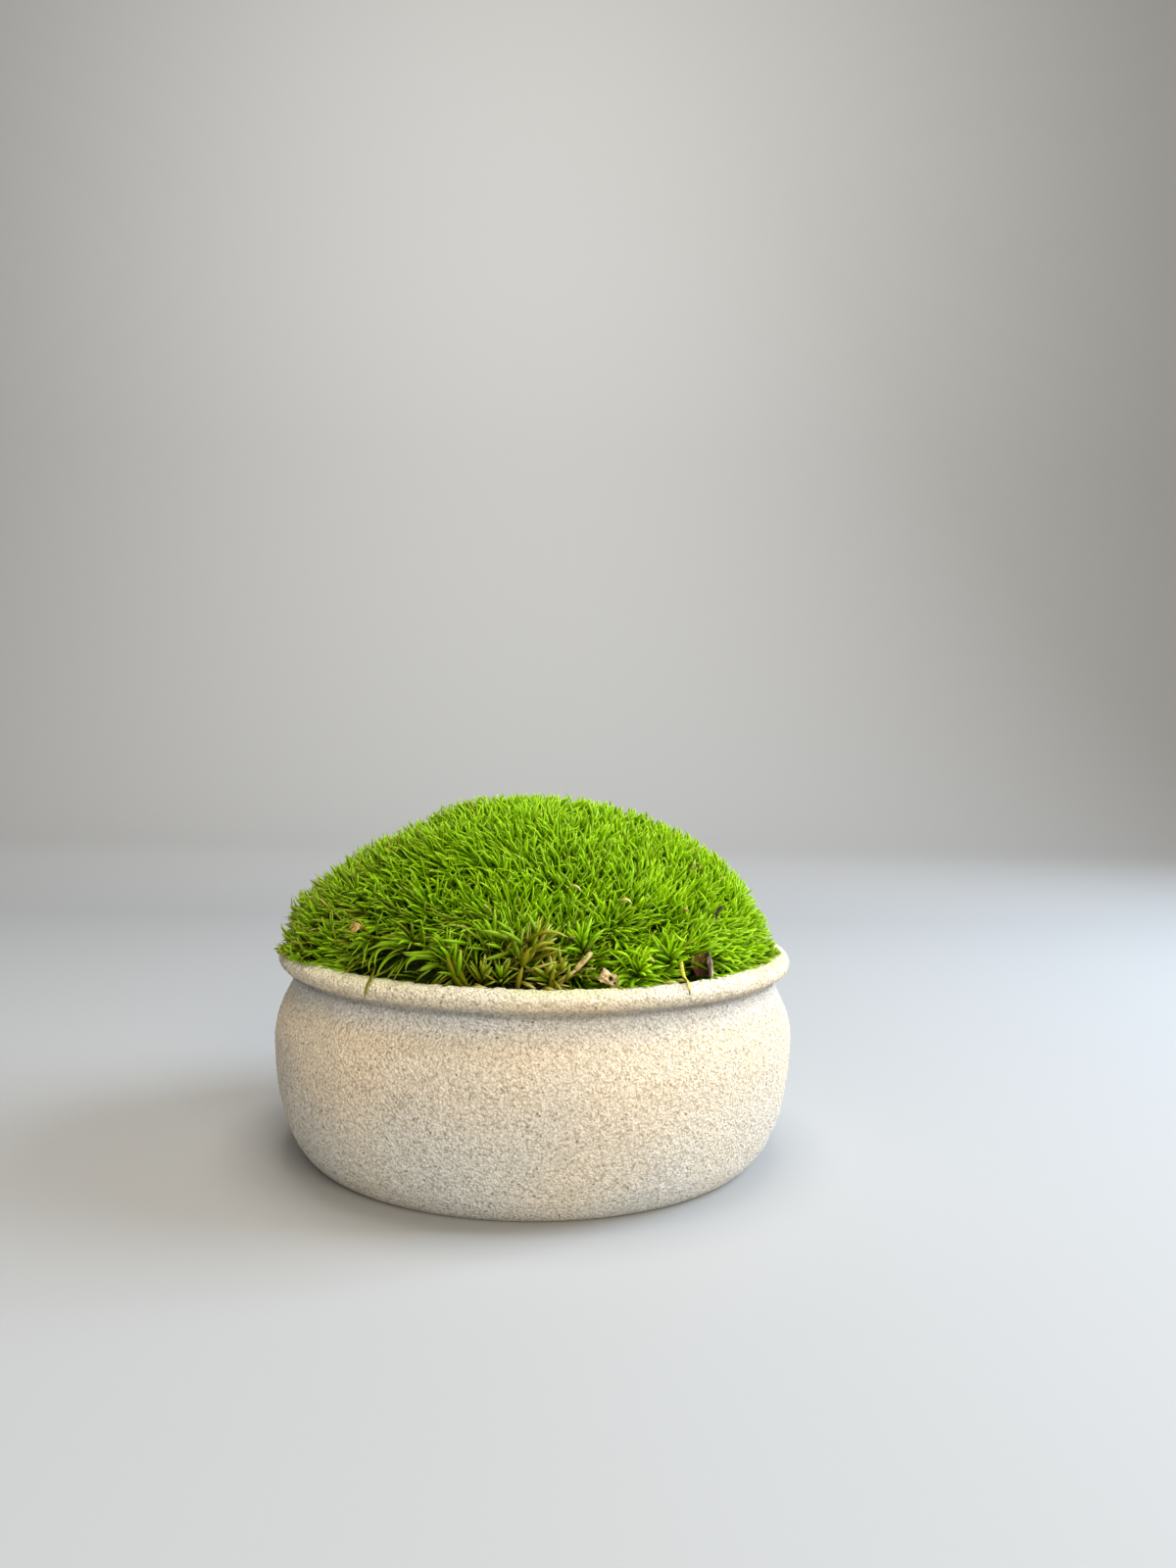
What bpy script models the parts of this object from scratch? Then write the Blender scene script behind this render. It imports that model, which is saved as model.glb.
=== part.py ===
# A cushion of broom moss growing in a small bowl of rough, sandy ceramic.
# Metres, +Z up. The origin is the centre of the bowl's foot, on the surface that the bowl stands on.
# The front, from which the clump is usually seen, faces -Y.

import math
import random

import bmesh
import bpy
from mathutils import Vector, noise

COLLECTION = "moss_clump_in_bowl"
GAP = 0.0003

# Bowl, turned about Z
TURN_STEPS = 60
BELLY_R = 0.055
BELLY_Z = 0.0243
FOOT_R = 0.0468
LOWER_BELLY_INSET = 0.010
LOWER_BELLY_DROP = 0.02472
UPPER_BELLY_ARC_R = 0.0195
NECK_R = 0.0517
NECK_Z = 0.0380
NECK_ARC_END_Z = 0.0352
RIM_R = 0.0520
RIM_Z = 0.0410
RIM_HALF_WIDTH = 0.0025
RIM_HALF_HEIGHT = 0.0020
WALL = 0.0043
FLOOR_Z = 0.0050
INSIDE_LOWER_INSET = 0.0100
INSIDE_NECK_R = 0.0480
INSIDE_NECK_Z = 0.0362

# Soil
SOIL_TOP_Z = 0.0392
SOIL_TOP_FLARE = 0.25

# Moss cushion: how far its leaf tips reach at the right, back, left and front
MOSS_REACH = (0.0516, 0.0522, 0.0548, 0.0506)
MOSS_FULLNESS = (1.95, 1.95, 2.02, 1.90)
MOSS_WAIST_Z = 0.0400
MOSS_RISE = 0.0352
LEAF_DEPTH = 0.0022
TUFT_SPACING = 0.0048
TUFT_LEAN_UP = 0.55
LUMP_SIZE = 0.013
LUMP_HEIGHT = 0.0011
RINGS_ON_TOP = 12
RINGS_TO_SKIRT = 22
SKIRT_ANGLE = 84.0
LIP_Z = 0.0435

# Creases between lobes: both ends in plan, depth and half width
CREASES = (
    ((-0.0235, -0.0230), (-0.0205, 0.0260), 0.0018, 0.0030),
    ((-0.0205, 0.0260), (0.0060, 0.0470), 0.0011, 0.0032),
    ((0.0270, 0.0060), (0.0450, 0.0230), 0.0009, 0.0036),
)

# Hollows in the cushion, where litter lies or the moss is thin: centre, depth and half width.
# The last is a tuft that stands above the rest, so its depth is less than nothing.
HOLLOWS = (
    ((0.0312, -0.0400, 0.0450), 0.0040, 0.0036),
    ((0.0133, -0.0490, 0.0446), 0.0012, 0.0036),
    ((0.0068, -0.0492, 0.0464), 0.0010, 0.0044),
    ((-0.0010, -0.0500, 0.0438), 0.0016, 0.0040),
    ((0.0355, -0.0370, 0.0445), 0.0015, 0.0030),
    ((-0.0360, -0.0380, 0.0440), 0.0015, 0.0030),
    ((-0.0239, -0.0409, 0.0519), 0.0022, 0.0030),
    ((0.0362, -0.0292, 0.0546), 0.0008, 0.0030),
    ((0.0130, -0.0030, 0.0740), -0.0012, 0.0040),
    ((-0.0345, 0.0000, 0.0670), 0.0050, 0.0112), ((-0.0475, -0.0020, 0.0560), 0.0010, 0.0090),
)

# Litter. A route's points are azimuth in degrees, distance from the axis, and height
HUSK_FOOT = (0.03065, -0.03900, 0.04310)
HUSK_HEIGHT = 0.0046
HUSK_R = 0.0016
HUSK_SKIN = 0.00032
CHIP_CENTRE = (0.0133, -0.0483, 0.0444)
CHIP_SIZE = (0.0035, 0.0011, 0.0024)
CRUMB_CENTRE = (-0.03412, -0.03498, 0.05105)
CRUMB_SIZE = (0.0024, 0.0017)
CRUMB_SKIN = 0.00035
STALK_ROUTE = ((-86.2, 0.0499, 0.0429), (-84.1, 0.0496, 0.0445), (-81.8, 0.0494, 0.0461),
               (-80.0, 0.0491, 0.0477), (-78.4, 0.0486, 0.0490))
STALK_R = 0.00042
BLADE_ROUTE = ((-57.3, 0.0492, 0.0467), (-57.6, 0.0500, 0.0451), (-57.9, 0.0509, 0.0438), (-58.4, 0.0521, 0.0434),
               (-59.0, 0.0534, 0.0431), (-59.5, 0.0544, 0.0424), (-59.7, 0.05485, 0.0415))
BLADE_R = 0.00028
DARK_STEM_ROUTE = ((-42.7, 0.0467, 0.0528), (-41.8, 0.0465, 0.0538), (-40.4, 0.0463, 0.0546),
                   (-38.8, 0.0461, 0.0549), (-37.4, 0.0458, 0.0547))
DARK_STEM_R = 0.00026

RIGHT, BACK, LEFT, FRONT = range(4)


def clear_scene():
    for thing in list(bpy.data.objects):
        bpy.data.objects.remove(thing, do_unlink=True)


def new_material(name, colour, roughness):
    material = bpy.data.materials.new(name)
    material.use_nodes = True
    shader = material.node_tree.nodes["Principled BSDF"]
    shader.inputs["Base Color"].default_value = (*colour, 1.0)
    shader.inputs["Roughness"].default_value = roughness
    shader.inputs["Metallic"].default_value = 0.0
    material.diffuse_color = (*colour, 1.0)
    return material


def add_object(name, data, collection, material):
    thing = bpy.data.objects.new(name, data)
    data.materials.append(material)
    collection.objects.link(thing)
    return thing


def mesh_from(shape, name):
    mesh = bpy.data.meshes.new(name)
    shape.to_mesh(mesh)
    shape.free()
    return mesh


def arc(centre, half_width, half_height, start, end, steps):
    """Points along an elliptical arc, with angles in degrees from +r towards +z."""
    points = []
    for step in range(steps + 1):
        angle = math.radians(start + (end - start) * step / steps)
        points.append((centre[0] + half_width * math.cos(angle), centre[1] + half_height * math.sin(angle)))
    return points


def inner_wall(clearance):
    """The inside of the bowl from floor to neck, moved inwards by a clearance."""
    belly = BELLY_R - WALL
    lower = arc((belly - INSIDE_LOWER_INSET, BELLY_Z), INSIDE_LOWER_INSET, BELLY_Z - FLOOR_Z, -90, 0, 4)
    rise = INSIDE_NECK_Z - BELLY_Z
    draw_in = belly - INSIDE_NECK_R
    radius = (rise ** 2 + draw_in ** 2) / (2 * draw_in)
    top = math.degrees(math.asin(rise / radius))
    upper = arc((belly - radius, BELLY_Z), radius, radius, 0, top, 3)
    wall = lower + upper[1:]
    return [(r - clearance, z + (clearance if z < BELLY_Z else 0.0)) for r, z in wall]


def bowl_profile():
    """Half section, from the inside of the floor over the rim and down the outside to the foot."""
    rim = arc((RIM_R, RIM_Z), RIM_HALF_WIDTH, RIM_HALF_HEIGHT, 180, -55, 9)
    upper_end = math.degrees(math.asin((NECK_ARC_END_Z - BELLY_Z) / UPPER_BELLY_ARC_R))
    upper = arc((BELLY_R - UPPER_BELLY_ARC_R, BELLY_Z), UPPER_BELLY_ARC_R, UPPER_BELLY_ARC_R, upper_end, 0, 4)
    foot_cos = 1 - (BELLY_R - FOOT_R) / LOWER_BELLY_INSET
    foot_angle = -math.degrees(math.acos(foot_cos))
    lower = arc((BELLY_R - LOWER_BELLY_INSET, BELLY_Z), LOWER_BELLY_INSET, LOWER_BELLY_DROP, 0, foot_angle, 7)
    lower[-1] = (FOOT_R, 0.0)
    return [(0.0, FLOOR_Z)] + inner_wall(0.0) + rim + [(NECK_R, NECK_Z)] + upper + lower[1:] + [(0.0, 0.0)]


def soil_profile():
    wall = inner_wall(GAP)
    top_r = INSIDE_NECK_R + (SOIL_TOP_Z - INSIDE_NECK_Z) * SOIL_TOP_FLARE
    side = [(top_r, SOIL_TOP_Z)] + wall[::-1]
    return [(0.0, SOIL_TOP_Z)] + side + [(0.0, FLOOR_Z + GAP)]


def turned(name, profile, collection, material):
    mesh = bpy.data.meshes.new(name)
    edges = [(n, n + 1) for n in range(len(profile) - 1)]
    mesh.from_pydata([(r, 0.0, z) for r, z in profile], edges, [])
    thing = add_object(name, mesh, collection, material)
    screw = thing.modifiers.new("Turn", "SCREW")
    screw.steps = TURN_STEPS
    screw.render_steps = TURN_STEPS
    screw.use_merge_vertices = True
    screw.merge_threshold = 0.00001
    screw.use_smooth_shade = True
    return thing


def around(values, azimuth):
    """A value given at the right, back, left and front, blended around the cushion."""
    c, s = math.cos(azimuth), math.sin(azimuth)
    return (values[RIGHT] * max(c, 0) ** 2 + values[LEFT] * max(-c, 0) ** 2
            + values[BACK] * max(s, 0) ** 2 + values[FRONT] * max(-s, 0) ** 2)


def tip_point(azimuth, angle):
    """A point of the smooth surface that the leaf tips reach, at an angle in degrees down from the top."""
    power = 2 / around(MOSS_FULLNESS, azimuth)
    down = math.radians(angle)
    r = around(MOSS_REACH, azimuth) * math.sin(down) ** power
    z = MOSS_WAIST_Z + MOSS_RISE * max(math.cos(down), 0.0) ** power
    return Vector((r * math.cos(azimuth), r * math.sin(azimuth), z))


def tip_normal(azimuth, angle):
    if angle < 2:
        return Vector((0, 0, 1))
    step = 0.5
    across = tip_point(azimuth + math.radians(step), angle) - tip_point(azimuth - math.radians(step), angle)
    down = tip_point(azimuth, angle + step) - tip_point(azimuth, angle - step)
    return down.cross(across).normalized()


def distance_to_line(point, start, end):
    start, end = Vector(start), Vector(end)
    along = end - start
    share = max(0.0, min(1.0, (point - start).dot(along) / along.length_squared))
    return (point - start - along * share).length


def relief(point):
    """How far the tip surface is raised or sunk at a point by lumps, creases and hollows."""
    height = LUMP_HEIGHT * noise.noise(point / LUMP_SIZE)
    for start, end, depth, width in CREASES:
        away = distance_to_line(point.xy, start, end)
        height -= depth * math.exp(-((away / width) ** 2))
    for centre, depth, width in HOLLOWS:
        away = (point - Vector(centre)).length
        height -= depth * math.exp(-((away / width) ** 2))
    return height


def flat_rings(ring_count):
    """A flat disc of unit rings: a grid folded into rings, with more rings extruded from its edge."""
    shape = bmesh.new()
    cells = 2 * RINGS_ON_TOP
    bmesh.ops.create_grid(shape, x_segments=cells, y_segments=cells, size=RINGS_ON_TOP)
    for vert in shape.verts:
        x, y = vert.co.x, vert.co.y
        ring = max(abs(x), abs(y))
        if ring < 0.5:
            continue
        if abs(x) >= abs(y):
            angle = math.pi / 4 * y / x + (math.pi if x < 0 else 0.0)
        else:
            angle = math.pi / 2 - math.pi / 4 * x / y + (math.pi if y < 0 else 0.0)
        vert.co = Vector((ring * math.cos(angle), ring * math.sin(angle), 0.0))
    for ring in range(RINGS_ON_TOP + 1, ring_count + 1):
        edge = [e for e in shape.edges if e.is_boundary]
        grown = bmesh.ops.extrude_edge_only(shape, edges=edge)["geom"]
        for vert in grown:
            if isinstance(vert, bmesh.types.BMVert):
                vert.co *= ring / (ring - 1)
    bmesh.ops.contextual_create(shape, geom=[e for e in shape.edges if e.is_boundary])
    return shape


def skirt_point(azimuth, step):
    """Where the cushion's edge turns in over the rim and down to the soil, ring by ring."""
    lip_r = tip_point(azimuth, SKIRT_ANGLE).xy.length - LEAF_DEPTH / 2
    inside_rim = RIM_R - RIM_HALF_WIDTH
    turns = (
        (min(lip_r, RIM_R), LIP_Z),
        (min(lip_r - 2 * GAP, inside_rim + 0.0011), LIP_Z - 0.00045),
        (inside_rim - GAP * 1.5, RIM_Z + 0.0012),
        (INSIDE_NECK_R - 0.0006, SOIL_TOP_Z + GAP),
    )
    r, z = turns[step]
    place = Vector((r * math.cos(azimuth), r * math.sin(azimuth), z))
    if step < len(turns) - 1:
        draw_in = min(relief(place), 0.0)
        place.xy *= (r + draw_in) / r
    return place


def choose_tufts(spots, draw):
    """Spots that are far enough from each other to be tuft tips, taken in a shuffled order."""
    order = list(spots)
    draw.shuffle(order)
    chosen = {}
    for vert in order:
        place = spots[vert][0]
        if all((place - spots[other][0]).length > TUFT_SPACING for other in chosen):
            chosen[vert] = True
    return chosen


def build_moss(collection, material):
    draw = random.Random(7)
    skirt_rings = 4
    shape = flat_rings(RINGS_TO_SKIRT + skirt_rings)
    spots = {}
    for vert in shape.verts:
        ring = vert.co.xy.length
        azimuth = math.atan2(vert.co.y, vert.co.x)
        if round(ring) > RINGS_TO_SKIRT:
            vert.co = skirt_point(azimuth, round(ring) - RINGS_TO_SKIRT - 1)
            continue
        wander = 0.22 if 0.5 < ring < RINGS_TO_SKIRT - 0.5 else 0.0
        azimuth += draw.uniform(-wander, wander) * math.tau / (8 * max(min(ring, RINGS_ON_TOP), 1))
        angle = (ring + draw.uniform(-wander, wander)) * SKIRT_ANGLE / RINGS_TO_SKIRT
        place = tip_point(azimuth, angle)
        spots[vert] = (place, tip_normal(azimuth, angle))
    tufts = choose_tufts(spots, draw)
    for vert, (place, normal) in spots.items():
        depth = LEAF_DEPTH
        lean = normal
        if vert in tufts:
            depth = draw.uniform(-0.0002, 0.0005)
            lean = (normal + Vector((0, 0, TUFT_LEAN_UP))).normalized()
        elif any(edge.other_vert(vert) in tufts for edge in vert.link_edges):
            depth = LEAF_DEPTH * draw.uniform(0.55, 0.9)
        vert.co = place - normal * LEAF_DEPTH + lean * (LEAF_DEPTH - depth) + normal * relief(place)
        vert.co.z = max(vert.co.z, LIP_Z + 0.0004)
    bmesh.ops.recalc_face_normals(shape, faces=shape.faces)
    mesh = mesh_from(shape, "moss_clump")
    return add_object("moss_clump", mesh, collection, material)


def build_husk(collection, material):
    """A dead leaf, curled into an open roll that stands against the moss on the rim's inner edge."""
    shape = bmesh.new()
    bmesh.ops.create_grid(shape, x_segments=8, y_segments=4, size=0.5)
    for vert in shape.verts:
        across, up = vert.co.x, vert.co.y + 0.5
        angle = across * math.radians(235)
        radius = HUSK_R * (1.0 - 0.35 * up ** 2 + 0.16 * math.sin(5 * across))
        tip_cut = 1.0 - 0.45 * (2 * across) ** 2 * up
        height = HUSK_HEIGHT * up * tip_cut
        vert.co = Vector((radius * math.sin(angle), -radius * math.cos(angle) + 0.0006 * up, height))
    husk = add_object("curled_husk", mesh_from(shape, "curled_husk"), collection, material)
    husk.location = HUSK_FOOT
    husk.rotation_euler = (math.radians(-4), math.radians(6), math.radians(68))
    skin = husk.modifiers.new("Skin", "SOLIDIFY")
    skin.thickness = HUSK_SKIN
    skin.offset = 0.0
    return husk


def build_chip(collection, material):
    """A flake of bark: a box broken unevenly at both ends."""
    draw = random.Random(11)
    shape = bmesh.new()
    bmesh.ops.create_cube(shape, size=1.0)
    bmesh.ops.subdivide_edges(shape, edges=shape.edges, cuts=2, use_grid_fill=True)
    for vert in shape.verts:
        taper = 1.0 - 0.35 * abs(vert.co.x) - 0.25 * max(vert.co.x, 0.0)
        jog = Vector([draw.uniform(-0.09, 0.09) for _ in range(3)])
        spread = Vector((vert.co.x, vert.co.y * taper, vert.co.z * taper)) + jog
        vert.co = Vector([spread[n] * CHIP_SIZE[n] for n in range(3)])
    chip = add_object("bark_chip", mesh_from(shape, "bark_chip"), collection, material)
    chip.location = CHIP_CENTRE
    chip.rotation_euler = (math.radians(-14), math.radians(16), math.radians(15))
    return chip


def build_crumb(collection, material):
    """A crumpled bit of dead leaf caught in the moss at the left."""
    draw = random.Random(5)
    shape = bmesh.new()
    bmesh.ops.create_grid(shape, x_segments=4, y_segments=3, size=0.5)
    for vert in shape.verts:
        x, y = vert.co.x, vert.co.y
        fold = 0.0007 * math.sin(6.5 * x) + 0.0002 * draw.uniform(-1, 1)
        edge = 1.0 - 0.3 * (2 * y) ** 2
        vert.co = Vector((x * CRUMB_SIZE[0] * edge, y * CRUMB_SIZE[1], fold))
    crumb = add_object("leaf_crumb", mesh_from(shape, "leaf_crumb"), collection, material)
    crumb.location = CRUMB_CENTRE
    crumb.rotation_euler = (math.radians(62), math.radians(10), math.radians(-42))
    skin = crumb.modifiers.new("Skin", "SOLIDIFY")
    skin.thickness = CRUMB_SKIN
    skin.offset = 0.0
    return crumb


def build_fibre(name, route, radius, end_share, collection, material):
    """A dry stalk or blade: a thin tube along a route, tapering to a share of its radius."""
    curve = bpy.data.curves.new(name, "CURVE")
    curve.dimensions = "3D"
    curve.bevel_depth = radius
    curve.bevel_resolution = 2
    curve.use_fill_caps = True
    spline = curve.splines.new("POLY")
    spline.points.add(len(route) - 1)
    for n, (azimuth, r, z) in enumerate(route):
        turn = math.radians(azimuth)
        spline.points[n].co = (r * math.cos(turn), r * math.sin(turn), z, 1.0)
        spline.points[n].radius = 1.0 + (end_share - 1.0) * n / (len(route) - 1)
    return add_object(name, curve, collection, material)


def build():
    clear_scene()
    collection = bpy.data.collections.new(COLLECTION)
    bpy.context.scene.collection.children.link(collection)
    clay = new_material("sandy_ceramic", (0.72, 0.66, 0.56), 0.85)
    earth = new_material("potting_soil", (0.035, 0.022, 0.014), 0.95)
    moss = new_material("broom_moss", (0.16, 0.38, 0.02), 0.6)
    brown = new_material("brown_leaf", (0.085, 0.04, 0.022), 0.6)
    bark = new_material("pale_bark", (0.42, 0.28, 0.16), 0.8)
    straw = new_material("dry_straw", (0.50, 0.38, 0.16), 0.7)
    rust = new_material("rusty_leaf", (0.33, 0.15, 0.07), 0.75)
    yellow = new_material("yellowed_moss", (0.55, 0.48, 0.10), 0.65)
    dark = new_material("dark_stem", (0.03, 0.022, 0.014), 0.6)
    turned("bowl", bowl_profile(), collection, clay)
    turned("soil", soil_profile(), collection, earth)
    build_moss(collection, moss)
    build_husk(collection, brown)
    build_chip(collection, bark)
    build_crumb(collection, rust)
    build_fibre("dry_stalk", STALK_ROUTE, STALK_R, 0.75, collection, straw)
    build_fibre("dry_blade", BLADE_ROUTE, BLADE_R, 0.45, collection, yellow)
    build_fibre("dark_stem", DARK_STEM_ROUTE, DARK_STEM_R, 0.7, collection, dark)


build()
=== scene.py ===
# %% [markdown]
# # A cushion of broom moss in a rough little bowl
#
# The real thing is a dome of living moss, about as wide as a hand, that grows in a small bowl of
# sandy ceramic. The solids of the bowl, the soil, the moss and a few bits of litter are loaded as a
# fixed frame. This lesson puts the looks round them: thousands of single leaves in place of the plain
# cushion, a gritty skin on the bowl, crumbs of soil, and litter that is worth a close look.

# %% Load the frame
import math
import random
from collections import namedtuple

import bmesh
import bpy
import numpy as np
from mathutils import Euler, Matrix, Vector, noise


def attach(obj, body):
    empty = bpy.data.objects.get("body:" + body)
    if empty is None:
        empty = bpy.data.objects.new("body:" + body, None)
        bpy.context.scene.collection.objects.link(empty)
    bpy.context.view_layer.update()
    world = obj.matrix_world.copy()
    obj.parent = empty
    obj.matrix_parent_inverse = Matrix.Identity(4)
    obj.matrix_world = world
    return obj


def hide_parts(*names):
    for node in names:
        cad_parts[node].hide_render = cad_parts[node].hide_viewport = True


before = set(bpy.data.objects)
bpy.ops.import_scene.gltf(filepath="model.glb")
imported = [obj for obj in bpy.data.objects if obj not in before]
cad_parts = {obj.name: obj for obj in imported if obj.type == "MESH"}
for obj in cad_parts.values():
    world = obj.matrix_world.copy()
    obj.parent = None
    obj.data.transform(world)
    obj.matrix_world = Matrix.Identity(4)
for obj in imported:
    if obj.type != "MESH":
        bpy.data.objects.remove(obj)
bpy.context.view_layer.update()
print("nodes in the frame:", sorted(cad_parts))

# %% [markdown]
# ## Camera
#
# The photograph was taken from close by, a little above the rim, so near lines spread and the bowl's
# foot shows as a flat ellipse. A long lens from far away would flatten that. The camera therefore
# stands where a fit to the bowl's outline puts it, with a short lens and a slight roll.
#
# The camera is also a measuring tool: a sight line through a pixel, followed until it meets an upright
# cylinder round the bowl's axis, tells where a leaf that shows at that pixel lies in the real world.

# %% Camera at the photograph's place
CAMERA_DISTANCE = 0.2575
CAMERA_HEIGHT = 0.0852
CAMERA_PITCH = math.radians(1.67)
CAMERA_YAW = math.radians(2.35)
CAMERA_ROLL = math.radians(1.1)
FOCAL_PIXELS = 1206
PICTURE_WIDTH, PICTURE_HEIGHT = 1200, 1600
SENSOR = 36.0


def in_scene(name, data):
    """A new object with the given data, linked to the scene."""
    made = bpy.data.objects.new(name, data)
    bpy.context.scene.collection.objects.link(made)
    return made


def aim_camera():
    data = bpy.data.cameras.new("photo_view")
    data.sensor_width = SENSOR
    data.lens = SENSOR * FOCAL_PIXELS / PICTURE_HEIGHT
    data.clip_start = 0.01
    camera = in_scene("photo_view", data)
    turn = Matrix.Rotation(-CAMERA_YAW, 4, "Z") @ Matrix.Rotation(math.pi / 2 - CAMERA_PITCH, 4, "X")
    turn = turn @ Matrix.Rotation(CAMERA_ROLL, 4, "Z")
    camera.matrix_world = Matrix.Translation((0, -CAMERA_DISTANCE, CAMERA_HEIGHT)) @ turn
    bpy.context.scene.camera = camera
    return camera


camera = aim_camera()
eye = np.array(camera.matrix_world.translation)
view_turn = np.array(camera.matrix_world.to_3x3())
print(f"camera lens {camera.data.lens:.1f} mm")


def on_shell(pixels, radii):
    """Where the sight lines through pixels of the picture first meet upright cylinders of given radii."""
    across = (pixels[..., 0] - PICTURE_WIDTH / 2) / FOCAL_PIXELS
    up = (PICTURE_HEIGHT / 2 - pixels[..., 1]) / FOCAL_PIXELS
    ways = np.stack([across, up, -np.ones_like(up)], -1) @ view_turn.T
    a = np.sum(ways[..., :2] ** 2, -1)
    b = ways[..., :2] @ eye[:2]
    reach = (-b - np.sqrt(b * b - a * (eye[:2] @ eye[:2] - radii ** 2))) / a
    return eye + ways * reach[..., None]

# %% [markdown]
# ## Floor and light
#
# A plain pale sweep, floor and wall in one, keeps the eye on the moss. The photograph is lit by a
# large window at the right, so one wide soft panel there does most of the work. A second hangs above,
# a warmer one stands for the pale room in front, and the world fills the shadows at the left. A last
# panel faces away from the bowl and only brightens the wall.

# %% Floor and soft panels
FLOOR_COLOUR = (0.37, 0.366, 0.358)
FLOOR_FRONT_Y, SWEEP_START_Y = -1.6, 0.75
SWEEP_RADIUS, SWEEP_STEPS, SWEEP_HEIGHT, SWEEP_HALF_WIDTH = 0.45, 12, 2.4, 2.6
WORLD_COLOUR, WORLD_STRENGTH = (1.0, 0.96, 0.89, 1), 0.34


def new_finish(name, roughness):
    """A new material, with its node tree and its shader."""
    material = bpy.data.materials.new(name)
    material.use_nodes = True
    shader = material.node_tree.nodes["Principled BSDF"]
    shader.inputs["Roughness"].default_value = roughness
    return material, material.node_tree, shader


def make_sweep():
    section = [(FLOOR_FRONT_Y, 0.0), (SWEEP_START_Y, 0.0)]
    for step in range(1, SWEEP_STEPS + 1):
        turn = math.pi / 2 * step / SWEEP_STEPS
        section.append((SWEEP_START_Y + SWEEP_RADIUS * math.sin(turn), SWEEP_RADIUS * (1 - math.cos(turn))))
    section.append((SWEEP_START_Y + SWEEP_RADIUS, SWEEP_HEIGHT))
    points = [(side, y, z) for y, z in section for side in (-SWEEP_HALF_WIDTH, SWEEP_HALF_WIDTH)]
    faces = [(2 * n, 2 * n + 1, 2 * n + 3, 2 * n + 2) for n in range(len(section) - 1)]
    mesh = bpy.data.meshes.new("sweep")
    mesh.from_pydata(points, [], faces)
    mesh.shade_smooth()
    material, _, shader = new_finish("pale_floor", 0.8)
    shader.inputs["Base Color"].default_value = (*FLOOR_COLOUR, 1)
    mesh.materials.append(material)
    sweep = in_scene("sweep", mesh)


def soft_panel(name, place, size, power, colour, target=(0, 0, 0.04)):
    data = bpy.data.lights.new(name, "AREA")
    data.shape = "SQUARE"
    data.size = size
    data.energy = power
    data.color = colour
    panel = in_scene(name, data)
    panel.location = place
    panel.rotation_euler = (Vector(target) - Vector(place)).to_track_quat("-Z", "Y").to_euler()


make_sweep()
soft_panel("window_right", (0.62, 0.06, 0.42), 0.45, 9.3, (0.67, 0.81, 1.0))
soft_panel("ceiling", (0.02, 0.0, 0.75), 0.35, 3.45, (1.0, 0.99, 0.97))
soft_panel("room_front", (0.22, -0.75, 0.42), 0.5, 5.4, (1.0, 0.92, 0.77))
soft_panel("wall_wash", (0.0, 0.45, 0.85), 0.8, 9.0, (1.0, 0.99, 0.97), (0, 1.2, 0.75))
world = bpy.data.worlds.new("room")
bpy.context.scene.world = world
world.use_nodes = True
world.node_tree.nodes["Background"].inputs["Color"].default_value = WORLD_COLOUR
world.node_tree.nodes["Background"].inputs["Strength"].default_value = WORLD_STRENGTH
bpy.context.scene.view_settings.view_transform = "Standard"
print("stage is set")

# %% [markdown]
# ## Small tools for node materials
#
# Every finish below is a short chain of nodes. A few helpers keep those chains readable. The first
# adds a node, and sets or links its sockets. The others stretch a range of values to 0..1, make a
# colour ramp from a list of stops, blend two colours, and turn a pattern into bumps.

# %% Node helpers
def node(tree, kind, *first_values, **values):
    """A new node with its sockets set to plain values, or linked where the value is a socket."""
    made = tree.nodes.new(kind)
    for key in [key for key in values if hasattr(made, key)]:
        setattr(made, key, values.pop(key))
    for key, value in [*enumerate(first_values), *values.items()]:
        if isinstance(value, bpy.types.NodeSocket):
            tree.links.new(value, made.inputs[key])
        else:
            made.inputs[key].default_value = value
    return made


def object_place(tree):
    return node(tree, "ShaderNodeTexCoord").outputs["Object"]


def share_between(tree, value, start, end):
    """0 where a value is at its start, 1 at its end, and an even passage between."""
    return node(tree, "ShaderNodeMapRange", value, start, end).outputs["Result"]


def ramp(tree, factor, stops):
    made = node(tree, "ShaderNodeValToRGB", factor)
    elements = made.color_ramp.elements
    while len(elements) < len(stops):
        elements.new(0.5)
    for element, (place, colour) in zip(elements, stops):
        element.position = place
        element.color = (*colour, 1)
    return made.outputs["Color"]


def blend_colours(tree, factor, first, second, way="MIX"):
    made = node(tree, "ShaderNodeMix", factor, data_type="RGBA", blend_type=way)
    for socket, value in ((made.inputs[6], first), (made.inputs[7], second)):
        if isinstance(value, bpy.types.NodeSocket):
            tree.links.new(value, socket)
        else:
            socket.default_value = (*value, 1)
    return made.outputs[2]


def raise_bumps(tree, shader, height, distance, strength=0.8):
    bump = node(tree, "ShaderNodeBump", Height=height, Distance=distance, Strength=strength)
    tree.links.new(bump.outputs["Normal"], shader.inputs["Normal"])


print("node helpers are ready")

# %% [markdown]
# ## Small tools for meshes
#
# Numpy works out thousands of points at once, and a mesh takes them in one go, which is much faster
# than adding them one by one. The bowl, the mat under the leaves and the soil are all rings round one
# axis, so one helper joins such rings and closes both ends with a fan. Each piece rides on the one
# body of the part.

# %% Mesh helpers
def add_piece(name, mesh, material, slot):
    mesh.materials.append(material)
    piece = in_scene(name, mesh)
    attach(piece, "root")
    return piece


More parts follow.
